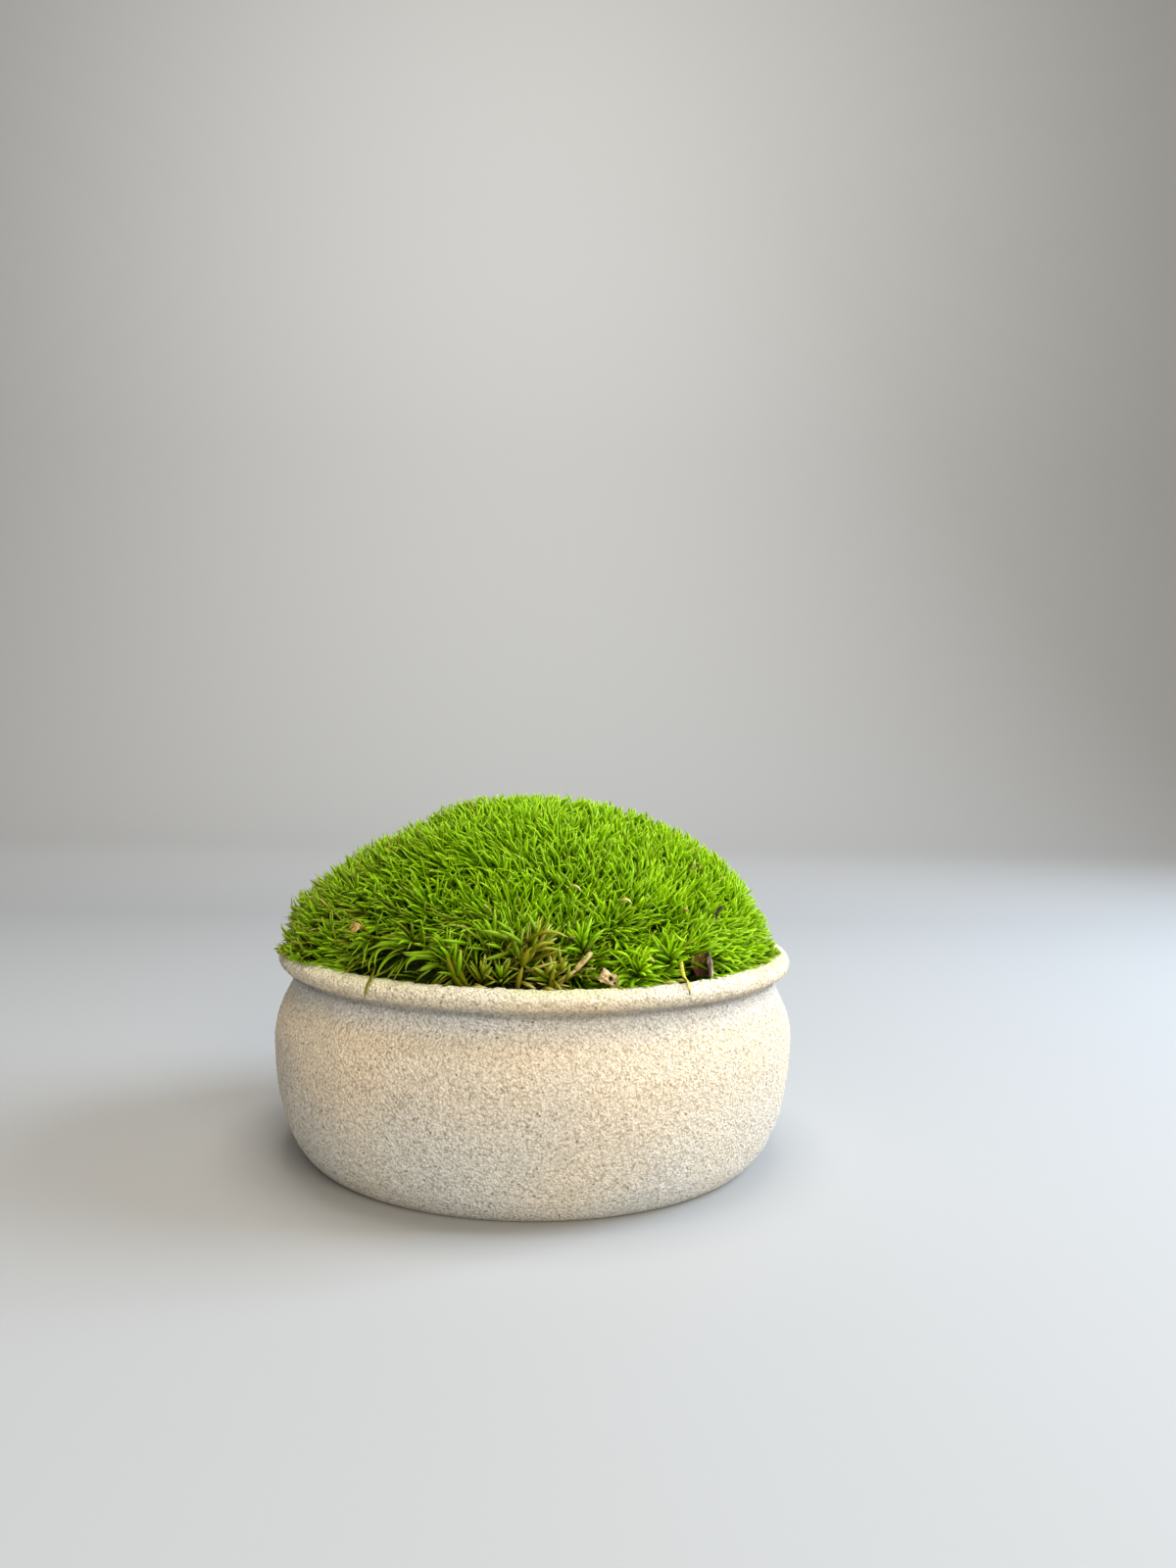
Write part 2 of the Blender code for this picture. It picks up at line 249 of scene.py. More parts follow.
def mesh_from_arrays(name, points, quads, triangles):
    """A mesh from numpy arrays of points, four-sided faces and three-sided faces."""
    mesh = bpy.data.meshes.new(name)
    corners = np.concatenate([quads.ravel(), triangles.ravel()]).astype(np.int32)
    sizes = np.concatenate([np.full(len(quads), 4), np.full(len(triangles), 3)])
    starts = np.concatenate([[0], np.cumsum(sizes)[:-1]]).astype(np.int32)
    mesh.vertices.add(len(points))
    mesh.vertices.foreach_set("co", points.astype(np.float32).ravel())
    mesh.loops.add(len(corners))
    mesh.loops.foreach_set("vertex_index", corners)
    mesh.polygons.add(len(sizes))
    mesh.polygons.foreach_set("loop_start", starts)
    mesh.update(calc_edges=True)
    mesh.shade_smooth()
    return mesh


def ring_at(r, z, angles):
    return np.stack([r * np.cos(angles), r * np.sin(angles), np.full(len(angles), z)], 1)


def mesh_from_rings(name, rings, first_centre, last_centre):
    """A closed mesh of equal rings, with a fan from each end ring to a centre."""
    rows, columns = rings.shape[:2]
    index = np.arange(rows * columns).reshape(rows, columns)
    beside = np.roll(index, -1, axis=1)
    quads = np.stack([index[:-1], index[1:], beside[1:], beside[:-1]], -1).reshape(-1, 4)
    fans = [np.stack([np.full(columns, index.size), index[0], beside[0]], 1),
            np.stack([np.full(columns, index.size + 1), beside[-1], index[-1]], 1)]
    points = np.concatenate([rings.reshape(-1, 3), [first_centre, last_centre]])
    return mesh_from_arrays(name, points, quads, np.concatenate(fans))


def mesh_from_shape(name, shape):
    """A smooth mesh from a finished bmesh, which is let go."""
    mesh = bpy.data.meshes.new(name)
    shape.to_mesh(mesh)
    shape.free()
    mesh.shade_smooth()
    return mesh


def noise_at(points, size, offset=(0, 0, 0)):
    """Smooth noise with waves of one size, at each of many points."""
    flat = [noise.noise(Vector(p) / size + Vector(offset)) for p in points.reshape(-1, 3)]
    return np.array(flat).reshape(points.shape[:-1])


def triangle_count(mesh):
    return sum(len(face.vertices) - 2 for face in mesh.polygons)


print("mesh helpers are ready")

# %% [markdown]
# ## Bowl
#
# The real bowl was thrown or cast, then coated with grit, so its skin is a fine stucco with pebbles of
# about half a millimetre and dark pinholes between them. A turned outline gives the form. Making
# every grain from faces would take millions, so the turned mesh carries only the soft unevenness and
# the larger grains, and the finest ones are bump in the material.

# %% Bowl outline
BELLY_R, BELLY_Z = 0.055, 0.0243
FOOT_R = 0.0468
LOWER_INSET, LOWER_DROP = 0.010, 0.02472
UPPER_ARC_R, NECK_ARC_END_Z = 0.0195, 0.0352
NECK_R, NECK_Z = 0.0517, 0.0380
RIM_R, RIM_Z, RIM_HALF_WIDTH, RIM_HALF_HEIGHT = 0.0520, 0.0410, 0.0025, 0.0020
INSIDE_R, INSIDE_NECK_R, INSIDE_NECK_Z, FLOOR_Z = 0.0507, 0.0480, 0.0362, 0.0050
INSIDE_WALL = ((0.0502, 0.0290), (0.0492, 0.0330), (INSIDE_NECK_R, INSIDE_NECK_Z), (0.0487, 0.0388))
GROOVE_START = ((0.0523, 0.0389), (0.0519, 0.0387))
GROOVE_HEIGHTS = (0.0384, NECK_Z, 0.0372, 0.0365, 0.0358)
UNDERSIDE_RADII = (0.044, 0.036, 0.018)


def arc(centre, half_width, half_height, start, end, steps):
    angles = np.radians(np.linspace(start, end, steps + 1))
    return np.stack([centre[0] + half_width * np.cos(angles), centre[1] + half_height * np.sin(angles)], 1)


def bowl_outline():
    """Half section of the bowl, from its inside floor over the rim to the underside of its foot."""
    inside = arc((INSIDE_R - LOWER_INSET, BELLY_Z), LOWER_INSET, BELLY_Z - FLOOR_Z, -90, 0, 5)[1:]
    rim = arc((RIM_R, RIM_Z), RIM_HALF_WIDTH, RIM_HALF_HEIGHT, 180, -75, 27)
    groove = GROOVE_START + tuple((NECK_R, z) for z in GROOVE_HEIGHTS)
    end = math.degrees(math.asin((NECK_ARC_END_Z - BELLY_Z) / UPPER_ARC_R))
    upper = arc((BELLY_R - UPPER_ARC_R, BELLY_Z), UPPER_ARC_R, UPPER_ARC_R, end, 0, 22)
    foot_angle = -math.degrees(math.acos(1 - (BELLY_R - FOOT_R) / LOWER_INSET))
    lower = arc((BELLY_R - LOWER_INSET, BELLY_Z), LOWER_INSET, LOWER_DROP, 0, foot_angle, 46)[1:]
    underside = [(r, 0.0) for r in UNDERSIDE_RADII]
    return np.concatenate([inside, INSIDE_WALL, rim, groove, upper, lower, underside])


outline = bowl_outline()
print(f"bowl outline has {len(outline)} points")

# %% [markdown]
# The outline is turned into rings of points. Each ring point is then pushed in or out along its own
# surface by a few layers of noise: a slow one for a hand-made unevenness, and finer ones for the
# grit, which is coarsest where the rim's inner edge is chipped. The foot stays flat, because the bowl
# stands on it.

# %% Turn the bowl and roughen it
BOWL_SEGMENTS = 760
SLOW_HEIGHT, SLOW_SIZE = 0.00018, 0.011
GRIT_HEIGHT, GRIT_SIZE = 0.00020, 0.0013
CHIPPED_EDGE_R, CHIPPED_GRIT = 0.0523, 1.8
SMOOTH_FOOT_Z, FLAT_FOOT_Z = 0.0022, 0.0002


def grit(place):
    """Height of the skin at a point, from about -1 to 1."""
    return 0.8 * noise.noise(place / GRIT_SIZE) + 0.6 * noise.noise(place / (GRIT_SIZE * 0.5))


def roughened(rings):
    """Ring points of the turned outline, pushed along their normals where the skin shows."""
    slope = np.gradient(rings, axis=0)
    normals = np.stack([-slope[:, 1], slope[:, 0]], 1)
    normals /= np.linalg.norm(normals, axis=1, keepdims=True)
    angles = np.linspace(0, math.tau, BOWL_SEGMENTS, endpoint=False)
    points = np.zeros((len(rings), BOWL_SEGMENTS, 3))
    for row, ((r, z), (out, up)) in enumerate(zip(rings, normals)):
        shows = z > FLAT_FOOT_Z and (r > INSIDE_R or z > RIM_Z)
        for column, angle in enumerate(angles):
            c, s = math.cos(angle), math.sin(angle)
            push = 0.0
            if shows:
                place = Vector((r * c, r * s, z))
                chipped = r < CHIPPED_EDGE_R and z > RIM_Z
                coarse = CHIPPED_GRIT if chipped else min(1.0, z / SMOOTH_FOOT_Z)
                push = SLOW_HEIGHT * noise.noise(place / SLOW_SIZE) + GRIT_HEIGHT * coarse * grit(place)
            points[row, column] = ((r + out * push) * c, (r + out * push) * s, max(z + up * push, 0.0))
    return points


bowl_mesh = mesh_from_rings("bowl_skin", roughened(outline), (0, 0, FLOOR_Z), (0, 0, 0))
print("bowl triangles:", triangle_count(bowl_mesh))

# %% [markdown]
# The colour of the skin is cream where the grit is fresh and warm, and greyer lower down. In and just
# under the groove it turns grey, darkest along the groove's deepest line: that band is painted shade
# under the rolled rim. Sand grains are cells, so a cell pattern serves them well, once its lookup is
# bent by noise so that it doesn't read as a honeycomb. Each grain has its own tone, and the crease
# round it is darkened as painted shade between the grains. A coarser cell pattern leaves a brown pit
# in some cells, and a third one scatters the black specks. A faint green tint lies in patches on the
# top of the rim.

# %% Finish of the bowl
LEVEL_TOP_Z = 0.043
# Skin colours by height. The grey band from about 35 to 39 mm, darkest near 38 mm, is painted shade in the
# groove under the rolled rim.
SKIN_LEVELS_WITH_GROOVE_SHADE = (
    (0.000, (0.80, 0.80, 0.77)), (0.014, (0.84, 0.81, 0.74)), (0.026, (0.91, 0.81, 0.67)),
    (0.0325, (0.94, 0.82, 0.65)), (0.0352, (0.82, 0.79, 0.73)), (0.0372, (0.68, 0.68, 0.67)),
    (0.0381, (0.40, 0.40, 0.40)), (0.0388, (0.67, 0.63, 0.53)), (0.0402, (0.87, 0.79, 0.62)),
    (0.0430, (0.89, 0.82, 0.65)),
)
PIT_COLOUR, SPECK_COLOUR = (0.30, 0.24, 0.185), (0.08, 0.06, 0.055)
# Green tint for patches on the top of the rim.
RIM_TINT_COLOUR, RIM_TINT_STRENGTH = (0.60, 0.65, 0.20), 0.38
GRAIN_WOBBLE = 0.0008


def sandy_ceramic():
    material, tree, shader = new_finish("sandy_ceramic", 0.9)
    place = object_place(tree)

    def texture(kind, where=place, **values):
        return node(tree, kind, where, **values).outputs

    def calculate(operation, *values):
        return node(tree, "ShaderNodeMath", *values, operation=operation).outputs[0]

    def marks_in_cells(cells, inner, outer, share):
        """1 in the middle of a share of the cells, and 0 elsewhere."""
        chosen = share_between(tree, cells["Color"], 1 - share - 0.02, 1 - share + 0.02)
        return calculate("MULTIPLY", share_between(tree, cells["Distance"], outer, inner), chosen)

    wobble = texture("ShaderNodeTexNoise", Scale=1300.0, Detail=1.0)["Color"]
    moved = node(tree, "ShaderNodeVectorMath", wobble, (GRAIN_WOBBLE,) * 3, place, operation="MULTIPLY_ADD")
    bent = moved.outputs[0]
    above_foot = node(tree, "ShaderNodeSeparateXYZ", place).outputs["Z"]
    drift = texture("ShaderNodeTexNoise", Scale=38.0, Detail=3.0, Roughness=0.55)["Fac"]
    patch = texture("ShaderNodeTexNoise", Scale=17.0, Detail=2.0)["Fac"]
    grains = texture("ShaderNodeTexVoronoi", bent, Scale=1850.0)
    pits = texture("ShaderNodeTexVoronoi", bent, Scale=680.0)
    specks = texture("ShaderNodeTexVoronoi", Scale=910.0)
    sand = texture("ShaderNodeTexNoise", Scale=2300.0, Detail=3.0, Roughness=0.65)["Fac"]
    level = calculate("MULTIPLY_ADD", drift, 0.0012, calculate("ADD", above_foot, -0.0006))
    levels = [(z / LEVEL_TOP_Z, colour) for z, colour in SKIN_LEVELS_WITH_GROOVE_SHADE]
    body = ramp(tree, share_between(tree, level, 0.0, LEVEL_TOP_Z), levels)
    for measure, tones in (
        (drift, [(0.35, (0.96, 0.965, 0.97)), (0.62, (1.03, 1.0, 0.96))]),
        (patch, [(0.46, (1.0, 1.0, 1.0)), (0.64, (1.02, 0.96, 0.88))]),
        (grains["Color"], [(0.15, (0.87, 0.865, 0.86)), (0.5, (1.0, 1.0, 1.0)), (0.8, (1.07, 1.07, 1.07))]),
        # Darker towards each grain's edge: painted shade in the creases between grains.
        (grains["Distance"], [(0.45, (1.03, 1.03, 1.03)), (0.8, (0.72, 0.69, 0.65))]),
        (sand, [(0.38, (0.78, 0.76, 0.73)), (0.5, (1.0, 1.0, 1.0)), (0.62, (1.09, 1.09, 1.09))]),
    ):
        body = blend_colours(tree, 1.0, body, ramp(tree, measure, tones), "MULTIPLY")
    body = blend_colours(tree, marks_in_cells(pits, inner=0.10, outer=0.22, share=0.38), body, PIT_COLOUR)
    body = blend_colours(tree, marks_in_cells(specks, inner=0.11, outer=0.21, share=0.17), body, SPECK_COLOUR)
    rim_top_band = share_between(tree, above_foot, 0.0418, 0.0428)
    rim_tint = calculate("MULTIPLY", rim_top_band, share_between(tree, drift, 0.50, 0.62))
    body = blend_colours(tree, calculate("MULTIPLY", rim_tint, RIM_TINT_STRENGTH), body, RIM_TINT_COLOUR)
    tree.links.new(body, shader.inputs["Base Color"])
    raise_bumps(tree, shader, calculate("MULTIPLY_ADD", grains["Distance"], -0.6, sand), 0.00060, 1.0)
    return material


bowl = add_piece("bowl_skin", bowl_mesh, sandy_ceramic(), "sandy_ceramic")
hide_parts("bowl")
print("bowl is finished")

# %% [markdown]
# ## The form of the moss
#
# Moss grows outwards from its middle, so the tips of all its leaves lie on one smooth dome. The same
# few numbers that gave the solid its form are used again here, so the leaves end where the solid
# ends. The dome is a superellipse whose reach and fullness change a little round the compass, with
# creases between lobes and hollows where the moss is thin.

# %% Dome that the leaf tips reach
MOSS_REACH = (0.0516, 0.0522, 0.0548, 0.0506)
MOSS_FULLNESS = (1.95, 1.95, 2.02, 1.90)
MOSS_WAIST_Z, MOSS_RISE = 0.0400, 0.0352
LUMPS = ((0.013, 0.0011), (0.0055, 0.0006))
CREASES = (
    ((-0.0235, -0.0230), (-0.0205, 0.0260), 0.0012, 0.0026),
    ((-0.0205, 0.0260), (0.0060, 0.0470), 0.0011, 0.0032),
    ((0.0270, 0.0060), (0.0450, 0.0230), 0.0009, 0.0036),
)
HOLLOWS = (
    ((0.0312, -0.0400, 0.0450), 0.0030, 0.0034),
    ((0.0133, -0.0490, 0.0446), 0.0016, 0.0030),
    ((-0.0010, -0.0500, 0.0438), 0.0016, 0.0040),
    ((0.0355, -0.0370, 0.0445), 0.0015, 0.0030),
    ((-0.0360, -0.0380, 0.0440), 0.0015, 0.0030),
    ((-0.0239, -0.0409, 0.0519), 0.0028, 0.0030),
    ((0.0362, -0.0292, 0.0546), 0.0008, 0.0030),
    ((0.0130, -0.0030, 0.0740), -0.0012, 0.0040),
    ((-0.0345, 0.0000, 0.0670), 0.0050, 0.0112),
    ((-0.0475, -0.0020, 0.0560), 0.0010, 0.0090),
)


def around(values, azimuth):
    """A value given at the right, back, left and front, blended around the cushion."""
    right, back, left, front = values
    c, s = np.cos(azimuth), np.sin(azimuth)
    return (right * np.maximum(c, 0) ** 2 + left * np.maximum(-c, 0) ** 2
            + back * np.maximum(s, 0) ** 2 + front * np.maximum(-s, 0) ** 2)


def tip_point(azimuth, down):
    power = 2 / around(MOSS_FULLNESS, azimuth)
    r = around(MOSS_REACH, azimuth) * np.sin(np.maximum(down, 1e-6)) ** power
    cosine = np.cos(down)
    z = MOSS_WAIST_Z + MOSS_RISE * np.sign(cosine) * np.abs(cosine) ** power
    return np.stack([r * np.cos(azimuth), r * np.sin(azimuth), z], -1)


def unit(vectors):
    return vectors / np.maximum(np.linalg.norm(vectors, axis=-1, keepdims=True), 1e-12)


def outward_at(azimuth, down):
    """The way straight out of the smooth dome."""
    step = 0.006
    across = tip_point(azimuth + step, down) - tip_point(azimuth - step, down)
    fall = tip_point(azimuth, down + step) - tip_point(azimuth, down - step)
    return unit(np.cross(fall, across))


def relief(points):
    """How far the dome is raised or sunk at each point by lumps, creases and hollows."""
    height = np.zeros(len(points))
    for size, rise in LUMPS:
        height += rise * noise_at(points, size)
    for start, end, depth, width in CREASES:
        start, end = np.array(start), np.array(end)
        along = end - start
        share = np.clip((points[:, :2] - start) @ along / (along @ along), 0, 1)
        away = np.linalg.norm(points[:, :2] - start - share[:, None] * along, axis=1)
        height -= depth * np.exp(-((away / width) ** 2))
    for centre, depth, width in HOLLOWS:
        away = np.linalg.norm(points - np.array(centre), axis=1)
        height -= depth * np.exp(-((away / width) ** 2))
    return height


print("dome top at", np.round(tip_point(np.zeros(1), np.zeros(1))[0] * 1000, 1), "mm")

# %% [markdown]
# ## One leaf, many times
#
# A broom moss leaf is a narrow blade, five to nine millimetres long, widest near its base, folded
# along its middle, and curved like a sickle. A particle system would scatter such leaves quickly, but
# particles don't survive an export. So the leaves are plain meshes, worked out all at once with
# arrays: a middle line for each leaf, and round it a three-sided section that shrinks to a point. A
# map on each mesh tells the leaf's age across and its height up, for the finish to colour it by.

# %% Blade maker
LEAF_KEEL = 0.42
LEAF_WIDEST_AT = 0.30
LEAF_BASE_WIDTH, LEAF_BASE_GROWTH = 0.70, 0.30
LEAF_BLUNTNESS = 2.8
LEAF_STEPS = 6
LEAF_MAP = "OFBake"
AGE_WIDTH = 0.008


def width_along(share):
    """A leaf's half width from base to tip, as a share of its widest."""
    rise = LEAF_BASE_WIDTH + LEAF_BASE_GROWTH * share / LEAF_WIDEST_AT
    fall = 1 - (np.maximum(share - LEAF_WIDEST_AT, 0) / (1 - LEAF_WIDEST_AT)) ** LEAF_BLUNTNESS
    return np.where(share < LEAF_WIDEST_AT, rise, fall)


def blades(name, spine, side, width, tint, heights=(0.0, 1.0)):
    """One mesh of closed, three-sided blades round their middle lines, base first."""
    count, steps = spine.shape[0], spine.shape[1] - 1
    heading = unit(np.gradient(spine, axis=1))
    side = unit(side[:, None] - heading * np.sum(side[:, None] * heading, -1, keepdims=True))
    face = unit(np.cross(side, heading))
    share = np.arange(steps) / steps
    half = (width[:, None] * width_along(share)[None] / 2)[..., None]
    ring = spine[:, :-1]
    left = ring + side[:, :-1] * half + face[:, :-1] * half * LEAF_KEEL
    right = ring - side[:, :-1] * half + face[:, :-1] * half * LEAF_KEEL
    keel = ring - face[:, :-1] * half * LEAF_KEEL
    rings = np.stack([left, right, keel], 2).reshape(count, steps * 3, 3)
    points = np.concatenate([rings, spine[:, -1:]], 1)
    per_leaf = steps * 3 + 1
    quads, triangles = [], [(0, 1, 2)]
    for step in range(steps - 1):
        low, high = step * 3, step * 3 + 3
        quads += [(low + n, high + n, high + (n + 1) % 3, low + (n + 1) % 3) for n in range(3)]
    last = steps * 3 - 3
    triangles += [(last + n, steps * 3, last + (n + 1) % 3) for n in range(3)]
    offsets = (np.arange(count) * per_leaf)[:, None, None]
    all_quads = (np.array(quads)[None] + offsets).reshape(-1, 4)
    all_triangles = (np.array(triangles)[None] + offsets).reshape(-1, 3)
    mesh = mesh_from_arrays(name, points.reshape(-1, 3), all_quads, all_triangles)
    up_map = heights[0] + (heights[1] - heights[0]) * np.append(np.repeat(share, 3), 1.0)
    across = np.append(np.tile([-AGE_WIDTH, AGE_WIDTH, 0.0], steps), 0.0)
    ages = np.clip(tint, 2 * AGE_WIDTH, 1 - 2 * AGE_WIDTH)
    marks = np.stack([(ages[:, None] + across[None]).ravel(), np.tile(up_map, count)], 1)
    layer = mesh.uv_layers.new(name=LEAF_MAP)
    corners = np.zeros(len(mesh.loops), np.int32)
    mesh.loops.foreach_get("vertex_index", corners)
    layer.data.foreach_set("uv", np.clip(marks, 0.002, 0.998)[corners].astype(np.float32).ravel())
    return mesh


print(f"a leaf of {LEAF_STEPS} steps has {6 * LEAF_STEPS - 2} triangles")

# %% [markdown]
# Middle lines come in two kinds. Most leaves start in one direction and turn steadily towards another.
# The ones that are listed one by one pass through three points. Both kinds then give way to what is
# solid: leaves that would sink into the rolled rim are moved out of it, and leaves of the cushion stay over
# it.

# %% Middle lines of the leaves
EDGE_FILL, EDGE_GIVE, RIM_ROOM = 1.01, 0.35, 0.0002
OUTERMOST = (0.0530, 0.0537, 0.0556, 0.0530)


def turning_lines(base, start, toward, length, bend, steps=LEAF_STEPS):
    middles = (np.arange(steps) + 0.5) / steps
    turn = np.clip(bend[:, None] * middles[None] ** 1.15, 0, 1)[..., None]
    heading = unit(start[:, None] * (1 - turn) + toward[:, None] * turn)
    hops = heading * (length / steps)[:, None, None]
    return base[:, None] + np.concatenate([np.zeros((len(base), 1, 3)), np.cumsum(hops, 1)], 1)


def lines_through(points, steps=10):
    """Smooth lines through the first, middle and last point of each row."""
    t = np.linspace(0, 1, steps + 1)[None, :, None]
    first, middle, last = [points[:, n, None] for n in range(3)]
    return first * (1 - t) * (1 - 2 * t) + middle * 4 * t * (1 - t) + last * t * (2 * t - 1)


def moved_to(points, new_r, new_z):
    """The same points at another distance from the bowl's axis and another height."""
    moved = points.copy()
    moved[..., :2] *= (new_r / np.maximum(np.linalg.norm(points[..., :2], axis=-1), 1e-9))[..., None]
    moved[..., 2] = new_z
    return moved


def rim_clear(points):
    """Points moved out of the bowl's rolled rim, so that leaves lie over it."""
    r, z = np.linalg.norm(points[..., :2], axis=-1), points[..., 2]
    out = (r - RIM_R) / (RIM_HALF_WIDTH + RIM_ROOM)
    up = (z - RIM_Z) / (RIM_HALF_HEIGHT + RIM_ROOM)
    length = np.hypot(out, up)
    push = np.where((length < 1) & (z > NECK_Z), 1 / np.maximum(length, 0.05), 1.0)
    return moved_to(points, RIM_R + (r - RIM_R) * push, np.where(push > 1, RIM_Z + (z - RIM_Z) * push, z))


def kept_inside(points):
    """Points drawn back towards the dome's surface, and lifted onto the rim where they would sink in."""
    r, z = np.linalg.norm(points[..., :2], axis=-1), points[..., 2]
    azimuth = np.arctan2(points[..., 1], points[..., 0])
    fullness = around(MOSS_FULLNESS, azimuth)
    rise = np.maximum(z - MOSS_WAIST_Z, 0) / MOSS_RISE
    fill = ((r / around(MOSS_REACH, azimuth)) ** fullness + rise ** fullness) ** (1 / fullness)
    inward = np.where(fill > EDGE_FILL, (EDGE_FILL + (fill - EDGE_FILL) * EDGE_GIVE) / fill, 1.0)
    new_r = np.minimum(r * inward, around(OUTERMOST, azimuth))
    new_z = np.where(z > MOSS_WAIST_Z, MOSS_WAIST_Z + (z - MOSS_WAIST_Z) * inward, z)
    out = (new_r - RIM_R) / (RIM_HALF_WIDTH + RIM_ROOM)
    crest = RIM_Z + (RIM_HALF_HEIGHT + RIM_ROOM) * np.sqrt(np.clip(1 - out ** 2, 0, 1))
    crest = np.where(out > 0, RIM_Z + RIM_HALF_HEIGHT + RIM_ROOM, crest)
    return moved_to(points, new_r, np.where((out > -1) & (new_z < crest), crest, new_z))


print("leaves keep", RIM_ROOM * 1000, "mm off the rim")

# %% [markdown]
# ## The green
#
# No two leaves have the same green: the youngest are yellow-green and almost glow, older ones are
# deep green, and the oldest go olive, then brown. Each leaf carries its age from 0 to 1 across its
# UV map, and the place along the leaf up the map. The finish reads only those two numbers. Ramps by
# age give the colour of the blade, of its paler tip and of its dark foot, and the height mixes them.
# The pale tip is partly the leaf's own colour and partly a painted highlight, and the dark foot is
# partly the old leaf base's own colour and partly painted shade deep among the leaves. A little
# light passes through each leaf, as it does through real ones.

# %% Finish of the leaves
# Blade and tip colours by age. The pale tips are partly the leaves' own colour and partly a painted
# highlight.
AGE_BLADE_TIP_WITH_HIGHLIGHT = (
    (0.00, (0.09, 0.055, 0.010), (0.24, 0.15, 0.04)), (0.13, (0.60, 0.53, 0.10), (0.80, 0.74, 0.26)),
    (0.24, (0.26, 0.24, 0.009), (0.42, 0.39, 0.04)), (0.36, (0.165, 0.22, 0.003), (0.36, 0.48, 0.045)),
    (0.55, (0.19, 0.41, 0.001), (0.40, 0.65, 0.03)), (0.8, (0.255, 0.53, 0.001), (0.43, 0.69, 0.010)),
    (1.0, (0.31, 0.54, 0.001), (0.52, 0.76, 0.02)),
)
# Foot colours by age, very dark: partly the old leaf bases' own colour and partly painted shade.
AGE_FOOT_WITH_SHADE = ((0.0, (0.05, 0.04, 0.006)), (0.3, (0.026, 0.034, 0.001)), (1.0, (0.028, 0.075, 0.001)))
BLADE_FROM, HIGHLIGHT_TIP_FROM, LIGHT_THROUGH = 0.62, 0.55, 0.20


def leaf_finish():
    material, tree, shader = new_finish("broom_moss", 0.22)
    marks = node(tree, "ShaderNodeUVMap", uv_map=LEAF_MAP)
    age, height, _ = node(tree, "ShaderNodeSeparateXYZ", marks.outputs["UV"]).outputs
    blade = ramp(tree, age, [(stop, blade) for stop, blade, tip in AGE_BLADE_TIP_WITH_HIGHLIGHT])
    tip = ramp(tree, age, [(stop, tip) for stop, blade, tip in AGE_BLADE_TIP_WITH_HIGHLIGHT])
    # Foot colour: partly the old leaf bases' own and partly painted shade deep among the leaves.
    foot = ramp(tree, age, AGE_FOOT_WITH_SHADE)
    colour = blend_colours(tree, share_between(tree, height, 0.0, BLADE_FROM), foot, blade)
    # Paler tip: partly the leaf's own colour and partly a painted highlight.
    colour = blend_colours(tree, share_between(tree, height, HIGHLIGHT_TIP_FROM, 1.0), colour, tip)
    tree.links.new(colour, shader.inputs["Base Color"])
    shader.inputs["IOR"].default_value = 1.33
    shader.inputs["Specular IOR Level"].default_value = 0.22
    shader.inputs["Specular Tint"].default_value = (1.0, 1.0, 0.45, 1)
    glow = node(tree, "ShaderNodeBsdfTranslucent", colour)
    both = node(tree, "ShaderNodeMixShader", LIGHT_THROUGH, shader.outputs[0], glow.outputs[0])
    tree.links.new(both.outputs[0], tree.nodes["Material Output"].inputs["Surface"])
    return material


leaf_material = leaf_finish()
print("leaf finish is ready")

# %% [markdown]
# ## Shoots
#
# The leaves don't grow singly. Each sits on a shoot, a stem that stands about three millimetres from
# the next, and a shoot's leaves spiral round it by the golden angle: young ones upright at its top,
# old ones spread below. Neighbouring shoots lean the same way, which makes the combed look of the
# cushion. The shoots are spread evenly over the dome, and their lean follows a slow noise plus a few
# places that were read from the photograph. Both the draws and the noise have a fixed seed, so the
# cushion grows the same each time.

# %% Where the shoots stand
SHOOT_COUNT = 1340
GOLDEN = math.pi * (3 - math.sqrt(5))
LOWEST_SHOOT = math.radians(86)
WANDER_ROUND, WANDER_DOWN, DOME_SIZE = 0.34, 0.3, 0.045
draw = np.random.default_rng(20)
noise.seed_set(4)


def even_spots(count):
    """Azimuths and angles from the top that cover the dome evenly, with some wander."""
    downs = np.linspace(0, LOWEST_SHOOT, 500)
    section = tip_point(np.zeros(500), downs)
    r, z = section[:, 0], section[:, 2]
    area = np.concatenate([[0], np.cumsum(np.hypot(np.diff(r), np.diff(z)) * (r[1:] + r[:-1]) / 2)])
    spacing = math.sqrt(area[-1] * math.tau / count)
    index = np.arange(count)
    down = np.interp((index + 0.5) / count * area[-1], area, downs)
    wander = draw.uniform(-WANDER_ROUND, WANDER_ROUND, count) * spacing
    azimuth = index * GOLDEN + wander / np.interp(down, downs, r + 1e-4)
    down += draw.uniform(-WANDER_DOWN, WANDER_DOWN, count) * spacing / DOME_SIZE
    return azimuth % math.tau, np.clip(down, 0.002, LOWEST_SHOOT), spacing


azimuth, down, spacing = even_spots(SHOOT_COUNT)
print(f"{SHOOT_COUNT} shoots, about {spacing * 1000:.1f} mm apart")

# %% [markdown]
# Shoots differ from place to place. On the crown they are short and upright. At the front left they are
# long, and arch out over the rim. At the right they are fine and bright. A table of regions holds what
# the photograph shows of each, and every shoot takes a blend of the regions near it, so nothing
# changes in a step.

